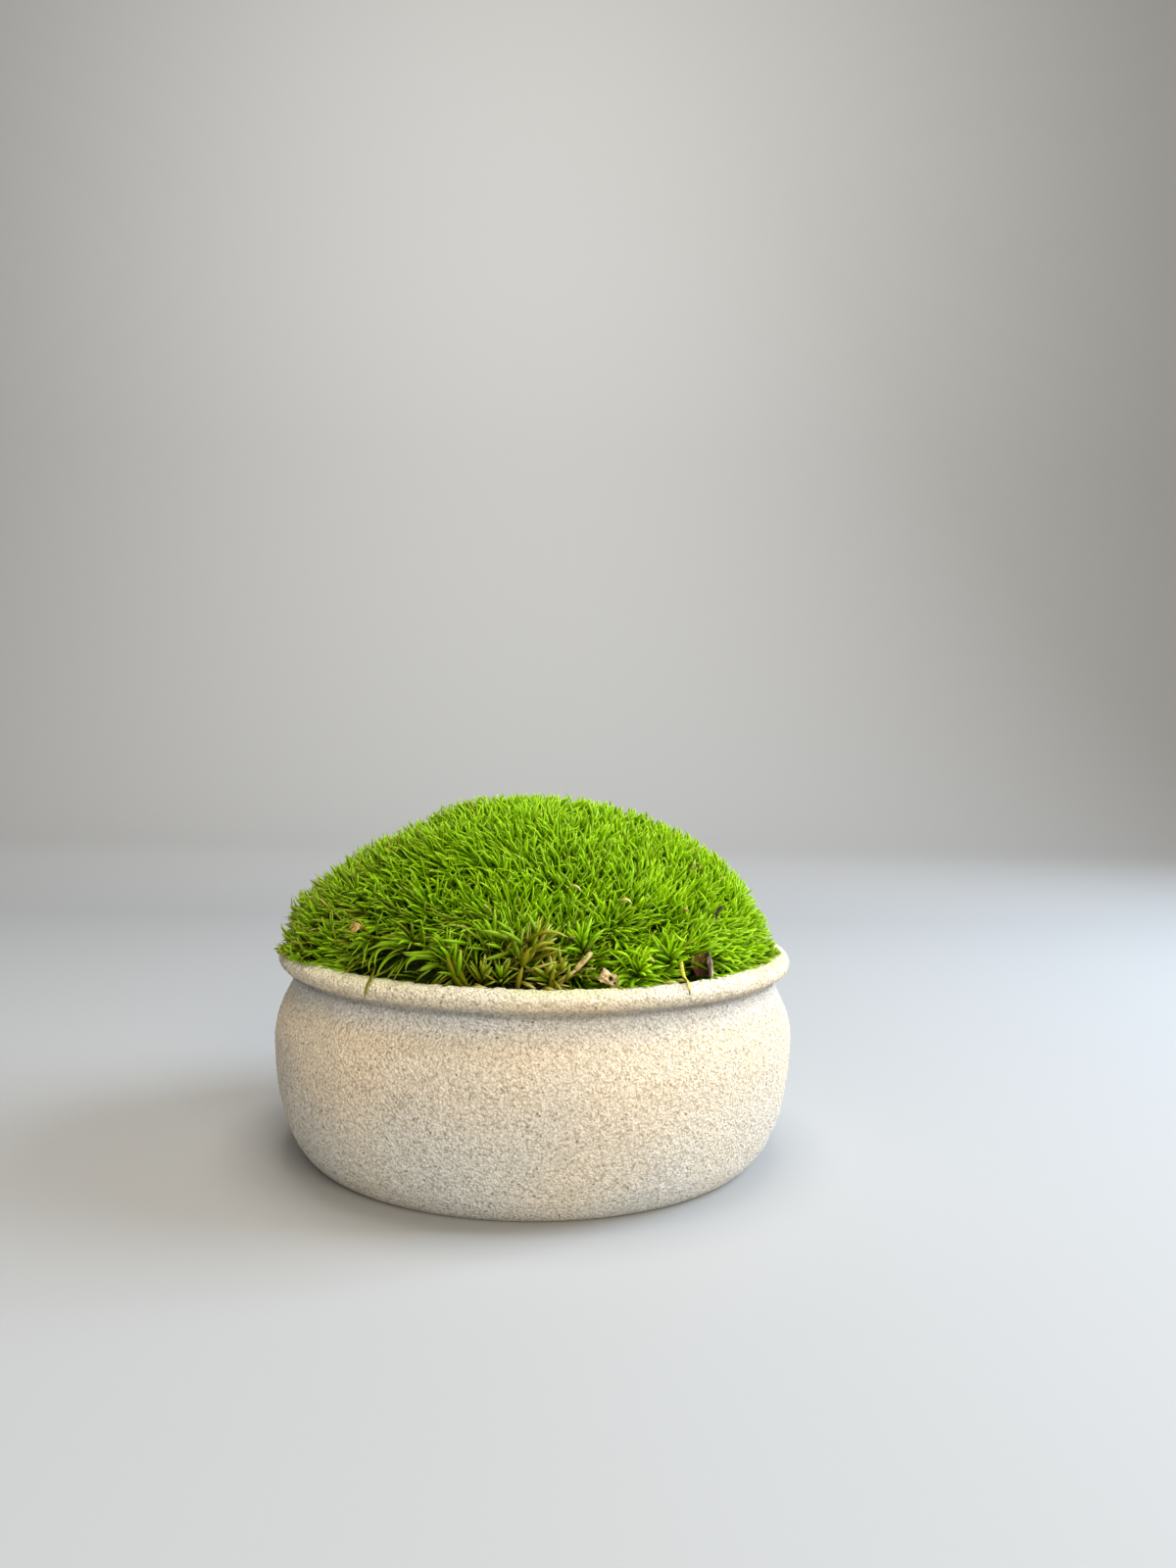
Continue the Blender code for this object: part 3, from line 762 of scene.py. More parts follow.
# %% How the moss differs from place to place
Region = namedtuple("Region", "centre radius length age sweep droop")
REGIONS = (
    Region((0.005, 0.006, 0.074), 0.024, 0.0068, 0.64, (0.0, -0.05, 0.0), 0.00),
    Region((-0.038, 0.000, 0.061), 0.019, 0.0072, 0.42, (-0.35, -0.10, 0.05), 0.10),
    Region((-0.014, -0.028, 0.066), 0.012, 0.0095, 0.66, (-0.50, -0.10, 0.05), 0.05),
    Region((0.006, -0.034, 0.062), 0.013, 0.0090, 0.66, (0.00, -0.10, 0.20), 0.00),
    Region((0.024, -0.034, 0.056), 0.012, 0.0083, 0.72, (0.30, -0.10, 0.15), 0.10),
    Region((0.042, -0.014, 0.056), 0.017, 0.0066, 0.70, (0.15, 0.00, 0.25), 0.00),
    Region((-0.027, -0.042, 0.047), 0.010, 0.0105, 0.44, (-0.55, -0.25, -0.05), 0.75),
    Region((0.002, -0.049, 0.046), 0.008, 0.0088, 0.26, (0.10, -0.40, 0.10), 0.35),
    Region((0.020, -0.046, 0.047), 0.009, 0.0080, 0.70, (0.40, -0.25, 0.05), 0.40),
    Region((-0.048, -0.015, 0.048), 0.012, 0.0078, 0.42, (-0.30, 0.00, 0.10), 0.35),
    Region((0.0490, -0.0170, 0.0455), 0.007, 0.0072, 0.38, (0.45, -0.15, 0.00), 0.50),
    Region((0.000, 0.042, 0.056), 0.026, 0.0076, 0.56, (0.00, 0.10, 0.10), 0.15),
)
ELSEWHERE, ELSEWHERE_WEIGHT = Region((0, 0, 0), 0, 0.0074, 0.58, (0, 0, 0), 0.1), 0.1


def style_at(points):
    """Blended leaf length, age, sweep and droop at each point."""
    away = [np.linalg.norm(points - np.array(region.centre), axis=1) for region in REGIONS]
    nearness = [np.exp(-((distance / region.radius) ** 2)) for distance, region in zip(away, REGIONS)]
    weights = np.array(nearness + [np.full(len(points), ELSEWHERE_WEIGHT)])
    weights /= weights.sum(0)
    every = REGIONS + (ELSEWHERE,)
    return [weights.T @ np.array([getattr(region, key) for region in every])
            for key in ("length", "age", "sweep", "droop")]


normals, tips = outward_at(azimuth, down), tip_point(azimuth, down)
tips = tips + normals * relief(tips)[:, None]
leaf_length, leaf_age, sweep, droop = style_at(tips)
print("leaf length from", round(leaf_length.min() * 1000, 1), "to", round(leaf_length.max() * 1000, 1), "mm")

# %% [markdown]
# A shoot leans between straight out of the cushion and straight up, with the sweep of its region and
# two slow noises that its neighbours share, so the tufts part and close like combed hair. Its leaves
# are then placed one golden angle after another, from the lowest, which spread widely, to the youngest,
# which stand along the stem. At a few bare spots the photograph looks into the dark between shoots:
# no shoot stands there, and leaves whose tips would close the spot again are left out too.

# %% Growing the leaves of a shoot
PATCHES = ((0.011, 0.75), (0.0055, 0.62))
OUTWARD_PULL, UPWARD_PULL, LEAN_WANDER = 0.6, 0.6, 0.14
UPRIGHT_FROM_Z, UPRIGHT_OVER = 0.045, 0.012
LEAF_WIDTH, USUAL_LENGTH = 0.00079, 0.0080
LEAFY_STEM, LEAF_ABOVE_STEM = 0.0045, 0.70
LEAVES_PER_SHOOT = 13
YOUNGEST_TILT, OLDEST_TILT_MORE = 13, 31.0
START_PULL, OUT_PULL, SWEEP_PULL = 0.7, 0.25, 0.9
AGE_WANDER, AGE_PATCH, AGE_PATCH_SIZE, AGE_PATCH_PLACE = 0.06, 0.09, 0.008, (7, 3, 1)
DEAD_SHARE, DEAD_AGES = 0.004, (0.14, 0.21)
UP = np.array([0.0, 0.0, 1.0])
BARE_SPOTS = np.array([
    (-0.0238, -0.0408, 0.0514, 0.0028), (-0.0226, -0.0150, 0.0690, 0.0020),
    (0.0133, -0.0490, 0.0446, 0.0028), (0.0316, -0.0394, 0.0452, 0.0036),
    (0.0360, -0.0364, 0.0445, 0.0030), (-0.0350, -0.0371, 0.0442, 0.0026),
    (-0.0314, -0.0382, 0.0472, 0.0030), (-0.0282, -0.0411, 0.0468, 0.0034),
    (-0.0246, -0.0437, 0.0461, 0.0034), (-0.0299, -0.0413, 0.0442, 0.0034),
    (-0.0214, -0.0457, 0.0458, 0.0034), (-0.0178, -0.0473, 0.0461, 0.0036),
    (-0.0142, -0.0485, 0.0457, 0.0034), (-0.0098, -0.0495, 0.0452, 0.0034),
    (-0.0055, -0.0502, 0.0451, 0.0034), (-0.0003, -0.0505, 0.0452, 0.0036),
    (0.0048, -0.0503, 0.0452, 0.0030), (0.0092, -0.0497, 0.0455, 0.0020),
])


def is_bare(points, share=1.0):
    away = np.linalg.norm(points[:, None] - BARE_SPOTS[None, :, :3], axis=-1)
    return np.any(away < share * BARE_SPOTS[:, 3], axis=1)


def lean(points, normals, sweep):
    """Each shoot's axis, and the way in which it and its leaves are swept."""
    rise = np.clip((points[:, 2] - UPRIGHT_FROM_Z) / UPRIGHT_OVER, 0.1, 1)[:, None]
    own = sweep + draw.normal(0, LEAN_WANDER, points.shape)
    for size, strength in PATCHES:
        own = own + strength * np.array([noise.noise_vector(Vector(p) / size) for p in points])
    return unit(OUTWARD_PULL * normals + UPWARD_PULL * rise * UP + own), own


def grow(apex, axis, leafy, length, age, sweep, droop, spread, count):
    """All leaves of some shoots, as flat arrays that the blade maker takes."""
    shape = (len(apex), count)
    order = np.tile(np.linspace(0, 1, count), (len(apex), 1))
    turn = np.arange(count) * GOLDEN + draw.uniform(0, math.tau, (len(apex), 1)) + draw.normal(0, 0.2, shape)
    tilt = np.radians(YOUNGEST_TILT + spread[:, None] * (1 - order) ** 0.8) * draw.uniform(0.75, 1.25, shape)
    first = unit(np.cross(axis, (0.31, 0.17, 0.93)))[:, None]
    second = np.cross(axis[:, None], first)
    out = np.cos(turn)[..., None] * first + np.sin(turn)[..., None] * second
    start = unit(axis[:, None] * np.cos(tilt)[..., None] + out * np.sin(tilt)[..., None])
    toward = start * START_PULL + out * OUT_PULL + sweep[:, None] * SWEEP_PULL - UP * droop[:, None, None]
    toward = unit(toward + draw.normal(0, 0.10, shape + (3,)))
    base = apex[:, None] - axis[:, None] * (leafy[:, None] * (1 - order))[..., None]
    side = np.cross(start, axis[:, None] + draw.normal(0, 0.25, shape + (3,)))
    size = length[:, None] * (1.25 - 0.5 * order) * draw.uniform(0.82, 1.18, shape)
    width = LEAF_WIDTH * draw.uniform(0.85, 1.2, shape) * (size / USUAL_LENGTH) ** -0.25
    bend = draw.uniform(0.5, 1.0, shape)
    tint = age[:, None] + 0.14 * (order - 0.5) + draw.normal(0, 0.10, shape)
    tint = np.where(draw.random(shape) < DEAD_SHARE, draw.uniform(*DEAD_AGES, shape), tint)
    fields = (base, start, toward, side, size, width, bend, tint)
    return [field.reshape((-1,) + field.shape[2:]) for field in fields]


axes, own_sweep = lean(tips, normals, sweep)
apex = tips - axes * (leaf_length * LEAF_ABOVE_STEM)[:, None]
patch_age = AGE_PATCH * noise_at(tips, AGE_PATCH_SIZE, AGE_PATCH_PLACE)
shoot_age = leaf_age + patch_age + draw.normal(0, AGE_WANDER, SHOOT_COUNT)
spread, leafy = np.full(SHOOT_COUNT, OLDEST_TILT_MORE), np.full(SHOOT_COUNT, LEAFY_STEM)
leaves = grow(apex, axes, leafy, leaf_length, shoot_age, own_sweep, droop, spread, LEAVES_PER_SHOOT)
leaf_tips = leaves[0] + unit(leaves[1] + leaves[2]) * leaves[4][:, None]
grows = ~(np.repeat(is_bare(tips), LEAVES_PER_SHOOT) | is_bare(leaf_tips, 0.8))
print(grows.sum(), "leaves grown")

# %% [markdown]
# The leaves become five meshes, one for the crown and one for each side, because a very large mesh is
# slow to handle. All five together stand for the one solid cushion.

# %% Leaf pieces by side
CROWN_ANGLE = math.radians(37)


def side_names():
    quarter = np.floor((azimuth + math.pi / 4) / (math.pi / 2)).astype(int) % 4
    names = np.array(["moss_right", "moss_back", "moss_left", "moss_front"])[quarter]
    return np.where(down < CROWN_ANGLE, "moss_crown", names)


def leaf_piece(name, mesh):
    piece = add_piece(name, mesh, leaf_material, "broom_moss")
    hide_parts("moss_clump")
    print(name, triangle_count(mesh), "triangles")


def grown_mesh(name, fields):
    base, start, toward, side, length, width, bend, tint = fields
    return blades(name, kept_inside(turning_lines(base, start, toward, length, bend)), side, width, tint)


leaf_side = np.repeat(side_names(), LEAVES_PER_SHOOT)
for name in sorted(set(leaf_side)):
    chosen = grows & (leaf_side == name)
    leaf_piece(name, grown_mesh(name, [field[chosen] for field in leaves]))

# %% [markdown]
# A few shoots at the front can be told one by one: small olive ones low down, a young one at the left
# with yellowish stems, an old one that fans to the right, a rosette beside it, and fountains of fresh
# green at the right. They are listed one by one and grown with the same grower.

# %% Shoots placed one by one
Shoot = namedtuple("Shoot", "root tip leaves length spread age sweep droop")
FRONT_LEAFY_SHARE = 0.85
FRONT_SHOOTS = [Shoot(*row) for row in (
    ((-0.0095, -0.0482, 0.0425), (-0.0093, -0.0492, 0.0450), 16, 0.0050, 34, 0.33, (0.0, -0.1, 0.3), 0.0),
    ((-0.0062, -0.0482, 0.0425), (-0.0062, -0.0494, 0.0447), 14, 0.0044, 34, 0.30, (0.1, -0.1, 0.3), 0.0),
    ((-0.0036, -0.0482, 0.0440), (0.0002, -0.0482, 0.0500), 22, 0.0074, 40, 0.29, (0.45, -0.1, 0.35), 0.1),
    ((0.0022, -0.0478, 0.0425), (0.0028, -0.0497, 0.0458), 18, 0.0050, 50, 0.27, (0.10, -0.2, 0.2), 0.0),
    ((-0.0129, -0.0478, 0.0428), (-0.0160, -0.0470, 0.0490), 18, 0.0064, 46, 0.56, (-0.2, -0.2, 0.1), 0.1),
    ((-0.0205, -0.0420, 0.0475), (-0.0225, -0.0432, 0.0495), 14, 0.0090, 40, 0.47, (-0.4, -0.2, 0.0), 0.8),
    ((-0.0290, -0.0370, 0.0475), (-0.0310, -0.0385, 0.0485), 12, 0.0080, 40, 0.44, (-0.4, -0.2, 0.0), 0.8),
    ((-0.0070, -0.0455, 0.0475), (-0.0075, -0.0470, 0.0505), 16, 0.0076, 44, 0.44, (-0.25, -0.2, 0.1), 0.2),
    ((0.0172, -0.0455, 0.0430), (0.0187, -0.0480, 0.0462), 26, 0.0064, 54, 0.74, (0.50, -0.15, 0.0), 0.6),
    ((0.0090, -0.0455, 0.0455), (0.0080, -0.0475, 0.0505), 20, 0.0064, 50, 0.62, (0.15, -0.2, 0.1), 0.2),
    ((0.0240, -0.0425, 0.0450), (0.0245, -0.0440, 0.0480), 18, 0.0060, 46, 0.78, (0.10, -0.2, 0.1), 0.1),
)]


def grow_front_shoots():
    for shoot in FRONT_SHOOTS:
        root, tip = np.array([shoot.root]), np.array([shoot.tip])
        stem = np.linalg.norm(tip - root, axis=1)
        style = (shoot.length, shoot.age, shoot.sweep, shoot.droop, shoot.spread)
        arrays = [np.array([value], float) for value in style]
        yield grow(tip, unit(tip - root), stem * FRONT_LEAFY_SHARE, *arrays, shoot.leaves)


front_leaves = [np.concatenate(fields) for fields in zip(*grow_front_shoots())]
leaf_piece("front_shoots", grown_mesh("front_shoots", front_leaves))

# %% [markdown]
# Some leaves stand out so much that they were placed one by one, at pixels of the photograph: long ones
# that arch and hook down at the left, one that hangs over the rim, broad olive ones in the middle, and
# a few dead or straw-pale ones. Each row gives three pixels along the leaf, how far its three places
# are from the bowl's axis in millimetres, its width in millimetres and its age. Stems are made the same
# way, as thick blades without a dark foot.

# %% Table of the leaves placed one by one
SeenLeaf = namedtuple("SeenLeaf", "start middle tip shells width age")
SEEN_LEAVES = [SeenLeaf(*row) for row in (
    ((411, 969), (395, 963), (371, 972), (48.5, 50.5, 51.5), 0.75, 0.46),
    ((410, 971), (388, 969), (383, 989), (48.5, 51.0, 52.5), 0.80, 0.48),
    ((396, 965), (380, 976), (377, 993), (48.5, 51.0, 52.5), 0.65, 0.44),
    ((409, 973), (394, 980), (383, 999), (49.0, 51.3, 52.5), 0.75, 0.50),
    ((386, 956), (373, 965), (374, 985), (47.8, 50.0, 52.0), 0.65, 0.44),
    ((383, 987), (377, 1004), (371, 1020), (51.5, 53.9, 55.0), 0.75, 0.27),
    ((411, 977), (408, 985), (402, 993), (49.5, 50.3, 50.8), 0.60, 0.42),
    ((406, 984), (401, 991), (394, 1000), (50.0, 51.0, 51.5), 0.60, 0.42),
    ((450, 970), (428, 973), (409, 972), (49.0, 50.8, 51.3), 0.85, 0.50),
    ((447, 976), (430, 976), (411, 974), (49.3, 51.2, 51.5), 0.70, 0.44),
    ((448, 981), (422, 978), (414, 993), (49.5, 51.7, 52.0), 0.75, 0.52),
    ((449, 983), (437, 987), (427, 991), (49.5, 51.2, 52.0), 0.95, 0.45),
    ((436, 967), (428, 964), (421, 963), (48.8, 50.0, 50.6), 0.60, 0.46),
    ((433, 965), (432, 952), (429, 937), (48.0, 47.8, 46.6), 0.75, 0.56),
    ((477, 963), (464, 961), (448, 959), (48.8, 50.3, 50.6), 0.70, 0.62),
    ((467, 998), (469, 983), (470, 968), (50.5, 51.3, 50.6), 1.00, 0.50),
    ((458, 975), (462, 967), (466, 957), (49.8, 49.8, 48.8), 0.75, 0.60),
    ((367, 987), (352, 979), (340, 987), (48.5, 50.8, 52.0), 0.70, 0.42),
    ((385, 947), (371, 953), (351, 956), (47.2, 49.5, 50.2), 0.65, 0.80),
    ((424, 1003), (431, 995), (441, 989), (50.5, 50.8, 50.5), 0.55, 0.40),
    ((440, 1006), (447, 998), (456, 991), (50.5, 51.0, 50.8), 0.50, 0.42),
    ((531, 981), (525, 962), (520, 945), (50.0, 49.5, 47.2), 0.85, 0.40),
    ((534, 966), (523, 956), (508, 949), (49.2, 50.0, 49.0), 0.80, 0.48),
    ((539, 976), (551, 964), (567, 963), (50.0, 50.8, 50.3), 0.75, 0.29),
    ((537, 962), (558, 951), (582, 958), (49.0, 50.0, 50.0), 0.75, 0.28),
    ((580, 957), (584, 957), (588, 955), (50.1, 50.0, 49.6), 0.50, 0.00),
    ((543, 972), (557, 968), (572, 970), (50.0, 51.0, 51.0), 0.65, 0.28),
    ((548, 954), (543, 941), (537, 931), (48.0, 47.0, 45.2), 0.75, 0.50),
    ((520, 971), (507, 976), (492, 980), (49.3, 50.8, 51.2), 0.75, 0.42),
    ((512, 968), (504, 965), (495, 963), (49.3, 50.3, 50.6), 0.60, 0.60),
    ((522, 960), (506, 953), (490, 950), (48.6, 49.6, 49.4), 0.95, 0.46),
    ((524, 951), (515, 946), (506, 939), (47.6, 48.2, 47.0), 0.80, 0.52),
    ((571, 983), (571, 974), (570, 965), (50.6, 50.6, 49.8), 0.60, 0.32),
    ((556, 995), (560, 989), (565, 984), (51.0, 51.8, 51.6), 0.90, 0.30),
    ((571, 991), (575, 986), (579, 981), (51.0, 51.7, 51.5), 0.90, 0.30),
    ((560, 998), (552, 992), (543, 987), (50.8, 51.6, 51.8), 0.75, 0.34),
    ((558, 1001), (546, 999), (535, 999), (50.8, 51.6, 52.0), 0.60, 0.36),
    ((564, 1000), (569, 1006), (574, 1011), (51.0, 52.0, 52.2), 0.60, 0.25),
    ((532, 1002), (539, 1005), (547, 1009), (50.2, 51.2, 52.0), 0.70, 0.18),
    ((553, 1009), (559, 1010), (566, 1012), (50.5, 51.7, 52.3), 0.80, 0.22),
    ((577, 1002), (580, 992), (581, 983), (50.6, 50.8, 50.4), 0.60, 0.32),
    ((567, 1003), (576, 997), (586, 990), (50.5, 50.6, 50.3), 0.55, 0.19),
    ((484, 1004), (491, 1007), (498, 1012), (50.5, 51.4, 52.2), 0.45, 0.13),
    ((480, 1009), (486, 1009), (493, 1012), (50.8, 51.5, 52.3), 0.45, 0.15),
    ((579, 908), (587, 904), (593, 911), (41.5, 42.6, 42.8), 0.50, 0.10),
    ((631, 921), (639, 918), (645, 923), (43.8, 44.6, 45.0), 0.65, 0.13),
    ((650, 926), (654, 919), (657, 914), (44.6, 44.8, 44.2), 0.60, 0.98),
    ((698, 932), (700, 928), (703, 931), (47.2, 47.8, 47.4), 0.80, 0.08),
    ((620, 972), (632, 972), (643, 977), (48.2, 49.8, 50.6), 0.70, 0.86),
    ((636, 971), (648, 972), (658, 979), (48.2, 49.8, 50.8), 0.70, 0.82),
    ((651, 974), (663, 971), (674, 970), (48.8, 50.0, 50.2), 0.70, 0.80),
    ((660, 974), (664, 978), (668, 982), (50.0, 50.8, 51.2), 0.55, 0.13),
    ((653, 993), (659, 987), (666, 984), (50.5, 51.6, 51.6), 0.65, 0.98),
    ((630, 960), (629, 965), (627, 970), (48.3, 49.3, 49.8), 0.60, 0.96),
    ((686, 949), (692, 957), (701, 961), (48.4, 49.6, 50.0), 0.60, 0.98),
    ((723, 931), (720, 919), (711, 907), (46.4, 46.2, 44.8), 0.60, 0.98),
    ((736, 941), (739, 946), (742, 952), (48.2, 49.4, 49.8), 0.60, 0.98),
    ((734, 975), (741, 979), (747, 976), (50.5, 51.4, 51.0), 0.55, 0.94),
    ((747, 976), (748, 972), (743, 971), (51.0, 50.9, 50.5), 0.55, 0.94),
    ((676, 1004), (684, 1002), (693, 1003), (50.6, 51.2, 51.6), 0.50, 0.16),
    ((690, 1001), (697, 1000), (704, 1003), (50.6, 51.2, 51.6), 0.50, 0.13),
    ((726, 998), (729, 999), (733, 1001), (51.3, 52.0, 52.6), 0.45, 0.02),
)]
SEEN_STEMS = [SeenLeaf(*row) for row in (
    ((528, 1011), (530, 998), (534, 984), (49.3, 50.5, 50.2), 1.00, 0.23),
    ((533, 986), (537, 976), (543, 966), (50.2, 50.3, 49.6), 1.30, 0.26),
    ((562, 1012), (563, 999), (566, 984), (49.6, 50.6, 50.8), 1.00, 0.26),
    ((472, 1009), (461, 989), (452, 966), (49.6, 50.6, 49.2), 1.30, 0.29),
    ((478, 1008), (468, 990), (460, 972), (49.6, 50.8, 49.6), 1.00, 0.34),
)]

# %% [markdown]
# The rows become blades by way of the sight lines. Each blade turns its flat side to the viewer, and
# one that would cut into the bowl's rolled rim is moved out to lie on it.

# %% Blades where the leaves show
OUTWARD_TILT = (1, 1, 0.3)


def seen_mesh(name, rows, heights):
    """Blades through the places where each row's leaf shows, with their flat side towards the viewer."""
    pixels = np.array([(row.start, row.middle, row.tip) for row in rows], float)
    places = on_shell(pixels, np.array([row.shells for row in rows]) / 1000)
    side = np.cross(places[:, 2] - places[:, 0], places[:, 1] * OUTWARD_TILT)
    width, age = np.array([row.width for row in rows]) / 1000, np.array([row.age for row in rows])
    return blades(name, rim_clear(lines_through(places)), side, width, age, heights)


leaf_piece("seen_leaves", seen_mesh("seen_leaves", SEEN_LEAVES, (0.25, 1.0)))
leaf_piece("seen_stems", seen_mesh("seen_stems", SEEN_STEMS, (0.50, 0.60)))

# %% [markdown]
# Under the green lies a dark mat of old stems and leaves. Without it one would look right through the
# cushion to the soil. It is a plain closed dome a few millimetres below the tips, roughened by noise.
# Its near-black colour is partly the old stems' own and partly painted shade deep in the cushion.

# %% Dark mat under the leaves
MAT_DEPTH, MAT_ROUGHNESS, MAT_TUFT = 0.0066, 0.0011, 0.0016
MAT_RINGS, MAT_SPOKES = 56, 168
MAT_TOP_ANGLE, MAT_FOOT_ANGLE = 2, 82
MAT_EDGE_R, MAT_EDGE_Z = 0.0468, 0.0396


def mat_mesh():
    spokes = np.linspace(0, math.tau, MAT_SPOKES, endpoint=False)
    rings = []
    for down in np.radians(np.linspace(MAT_TOP_ANGLE, MAT_FOOT_ANGLE, MAT_RINGS)):
        downs = np.full(MAT_SPOKES, down)
        outward, points = outward_at(spokes, downs), tip_point(spokes, downs)
        points = points + outward * relief(points)[:, None]
        rings.append(points - outward * (MAT_DEPTH + MAT_ROUGHNESS * noise_at(points, MAT_TUFT))[:, None])
    rings.append(ring_at(MAT_EDGE_R, MAT_EDGE_Z, spokes))
    top = rings[0][:, 2].mean() + 0.0001
    return mesh_from_rings("moss_mat", np.array(rings), (0, 0, top), (0, 0, MAT_EDGE_Z))


def dark_mat_and_shade_finish():
    material, tree, shader = new_finish("old_moss_and_shade", 0.95)
    shader.inputs["Specular IOR Level"].default_value = 0.1
    fleck = node(tree, "ShaderNodeTexNoise", object_place(tree), Scale=1400.0, Detail=3.0)
    # Near-black browns and greens: the old stems' own colour, darkened further as painted shade.
    stops = [(0.35, (0.006, 0.010, 0.002)), (0.6, (0.022, 0.040, 0.004)), (0.75, (0.07, 0.05, 0.015))]
    tree.links.new(ramp(tree, fleck.outputs["Fac"], stops), shader.inputs["Base Color"])
    return material


mat = add_piece("moss_mat", mat_mesh(), dark_mat_and_shade_finish(), "broom_moss")
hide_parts("moss_clump")
print("mat triangles:", triangle_count(mat.data))

# %% [markdown]
# ## Soil
#
# Dark potting soil fills the bowl to just under the rim. Nearly all of it is hidden, but crumbs show
# where the moss pulls back from the rim at the front right. The body is turned inside the bowl, with
# an uneven top, and loose crumbs lie on it near the edge.

# %% Soil body and crumbs
SOIL_TOP_Z, SOIL_EDGE_SLOPE = 0.0392, 0.25
SOIL_WALL = ((0.0481, INSIDE_NECK_Z), (0.0495, 0.0320), (0.0503, 0.0280), (INSIDE_R, BELLY_Z))
SOIL_WALL_GAP = 0.0003
SOIL_LUMP_HEIGHT, SOIL_LUMP_SIZE = 0.0006, 0.0021
SOIL_SPOKES, SOIL_TOP_RINGS = 180, 40
CRUMB_COUNT, CRUMB_RADII, CRUMB_SIZES = 420, (0.0440, 0.0482), (0.00022, 0.00062)
CRUMB_ROUGHNESS = 0.3
crumb_draw = random.Random(31)


def soil_body():
    """Rings from the middle of the top, over the edge, down the wall and in under the bottom."""
    top_r = INSIDE_NECK_R + (SOIL_TOP_Z - INSIDE_NECK_Z) * SOIL_EDGE_SLOPE
    section = [(top_r * (n + 1) / SOIL_TOP_RINGS, SOIL_TOP_Z) for n in range(SOIL_TOP_RINGS)]
    section += [(r - SOIL_WALL_GAP, z) for r, z in SOIL_WALL]
    bottom = arc((INSIDE_R - LOWER_INSET, BELLY_Z), LOWER_INSET, BELLY_Z - FLOOR_Z, -10, -90, 6)
    section += [(r - SOIL_WALL_GAP, z + SOIL_WALL_GAP) for r, z in bottom]
    angles = np.linspace(0, math.tau, SOIL_SPOKES, endpoint=False)
    rings = np.array([ring_at(r, z, angles) for r, z in section])
    top = rings[:SOIL_TOP_RINGS - 1]
    top[..., 2] += SOIL_LUMP_HEIGHT * noise_at(top, SOIL_LUMP_SIZE)
    return mesh_from_rings("soil_body", rings, (0, 0, SOIL_TOP_Z), (0, 0, FLOOR_Z + SOIL_WALL_GAP))


def add_crumb(shape):
    """Adds one small rough grain to a bmesh, on the soil near the rim."""
    angle, r = crumb_draw.uniform(0, math.tau), crumb_draw.uniform(*CRUMB_RADII)
    size = crumb_draw.uniform(*CRUMB_SIZES)
    centre = Vector((r * math.cos(angle), r * math.sin(angle), SOIL_TOP_Z + size * 0.7))
    made = bmesh.ops.create_icosphere(shape, subdivisions=1, radius=size)
    turned = crumb_draw.uniform(0, math.tau)
    axis = Vector([crumb_draw.uniform(-1, 1) for _ in range(3)]).normalized()
    turn = Matrix.Rotation(turned, 3, axis)
    for vert in made["verts"]:
        rough = 1 + crumb_draw.uniform(-CRUMB_ROUGHNESS, CRUMB_ROUGHNESS)
        vert.co = centre + turn @ (vert.co * rough)


def soil_mesh():
    shape = bmesh.new()
    shape.from_mesh(soil_body())
    for _ in range(CRUMB_COUNT):
        add_crumb(shape)
    return mesh_from_shape("soil_crumbs", shape)


def soil_finish():
    material, tree, shader = new_finish("potting_soil", 0.95)
    fleck = node(tree, "ShaderNodeTexNoise", object_place(tree), Scale=900.0, Detail=4.0, Roughness=0.7)
    stops = [(0.3, (0.012, 0.007, 0.004)), (0.55, (0.045, 0.026, 0.014)), (0.72, (0.13, 0.075, 0.04)),
             (0.8, (0.3, 0.22, 0.14))]
    tree.links.new(ramp(tree, fleck.outputs["Fac"], stops), shader.inputs["Base Color"])
    raise_bumps(tree, shader, fleck.outputs["Fac"], 0.0003)
    return material


soil = add_piece("loose_soil", soil_mesh(), soil_finish(), "potting_soil")
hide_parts("soil")
print("soil triangles:", triangle_count(soil.data))

# %% [markdown]
# ## Litter
#
# Bits of dead plants lie round the foot of the moss: a curled brown leaf, a flake of bark, a dry stalk,
# a yellow blade over the rim, a thin dark stem and a crumpled leaf. All but the flake are thin sheets
# that dried and rolled up, so one maker serves them: it takes a rule for the middle surface, and gives
# the sheet two faces, an edge and a thickness.

# %% Thin sheet maker
def thin_sheet(name, surface, columns, rows, thickness):
    """A closed sheet round the surface that a rule gives for across -0.5..0.5 and along 0..1."""
    across, along = np.meshgrid(np.linspace(-0.5, 0.5, columns), np.linspace(0, 1, rows), indexing="ij")
    middle = surface(across, along)
    facing = unit(np.cross(np.gradient(middle, axis=0), np.gradient(middle, axis=1)))
    half = thickness / 2
    front, back = middle + facing * half, middle - facing * half
    index = np.arange(columns * rows).reshape(columns, rows)
    grid = np.stack([index[:-1, :-1], index[1:, :-1], index[1:, 1:], index[:-1, 1:]], -1).reshape(-1, 4)
    loop = np.concatenate([index[:-1, 0], index[-1, :-1], index[:0:-1, -1], index[0, :0:-1]])
    following = np.roll(loop, -1)
    other = columns * rows
    edge = np.stack([following, loop, loop + other, following + other], 1)
    quads = np.concatenate([grid, grid[:, ::-1] + other, edge])
    points = np.concatenate([front.reshape(-1, 3), back.reshape(-1, 3)])
    return mesh_from_arrays(name, points, quads, np.zeros((0, 3), int))


def placed(points, location, turns):
    """Points turned by three angles in degrees and moved, as an object's own placing would."""
    turn = Euler([math.radians(angle) for angle in turns]).to_matrix()
    return points @ np.array(turn).T + np.array(location)


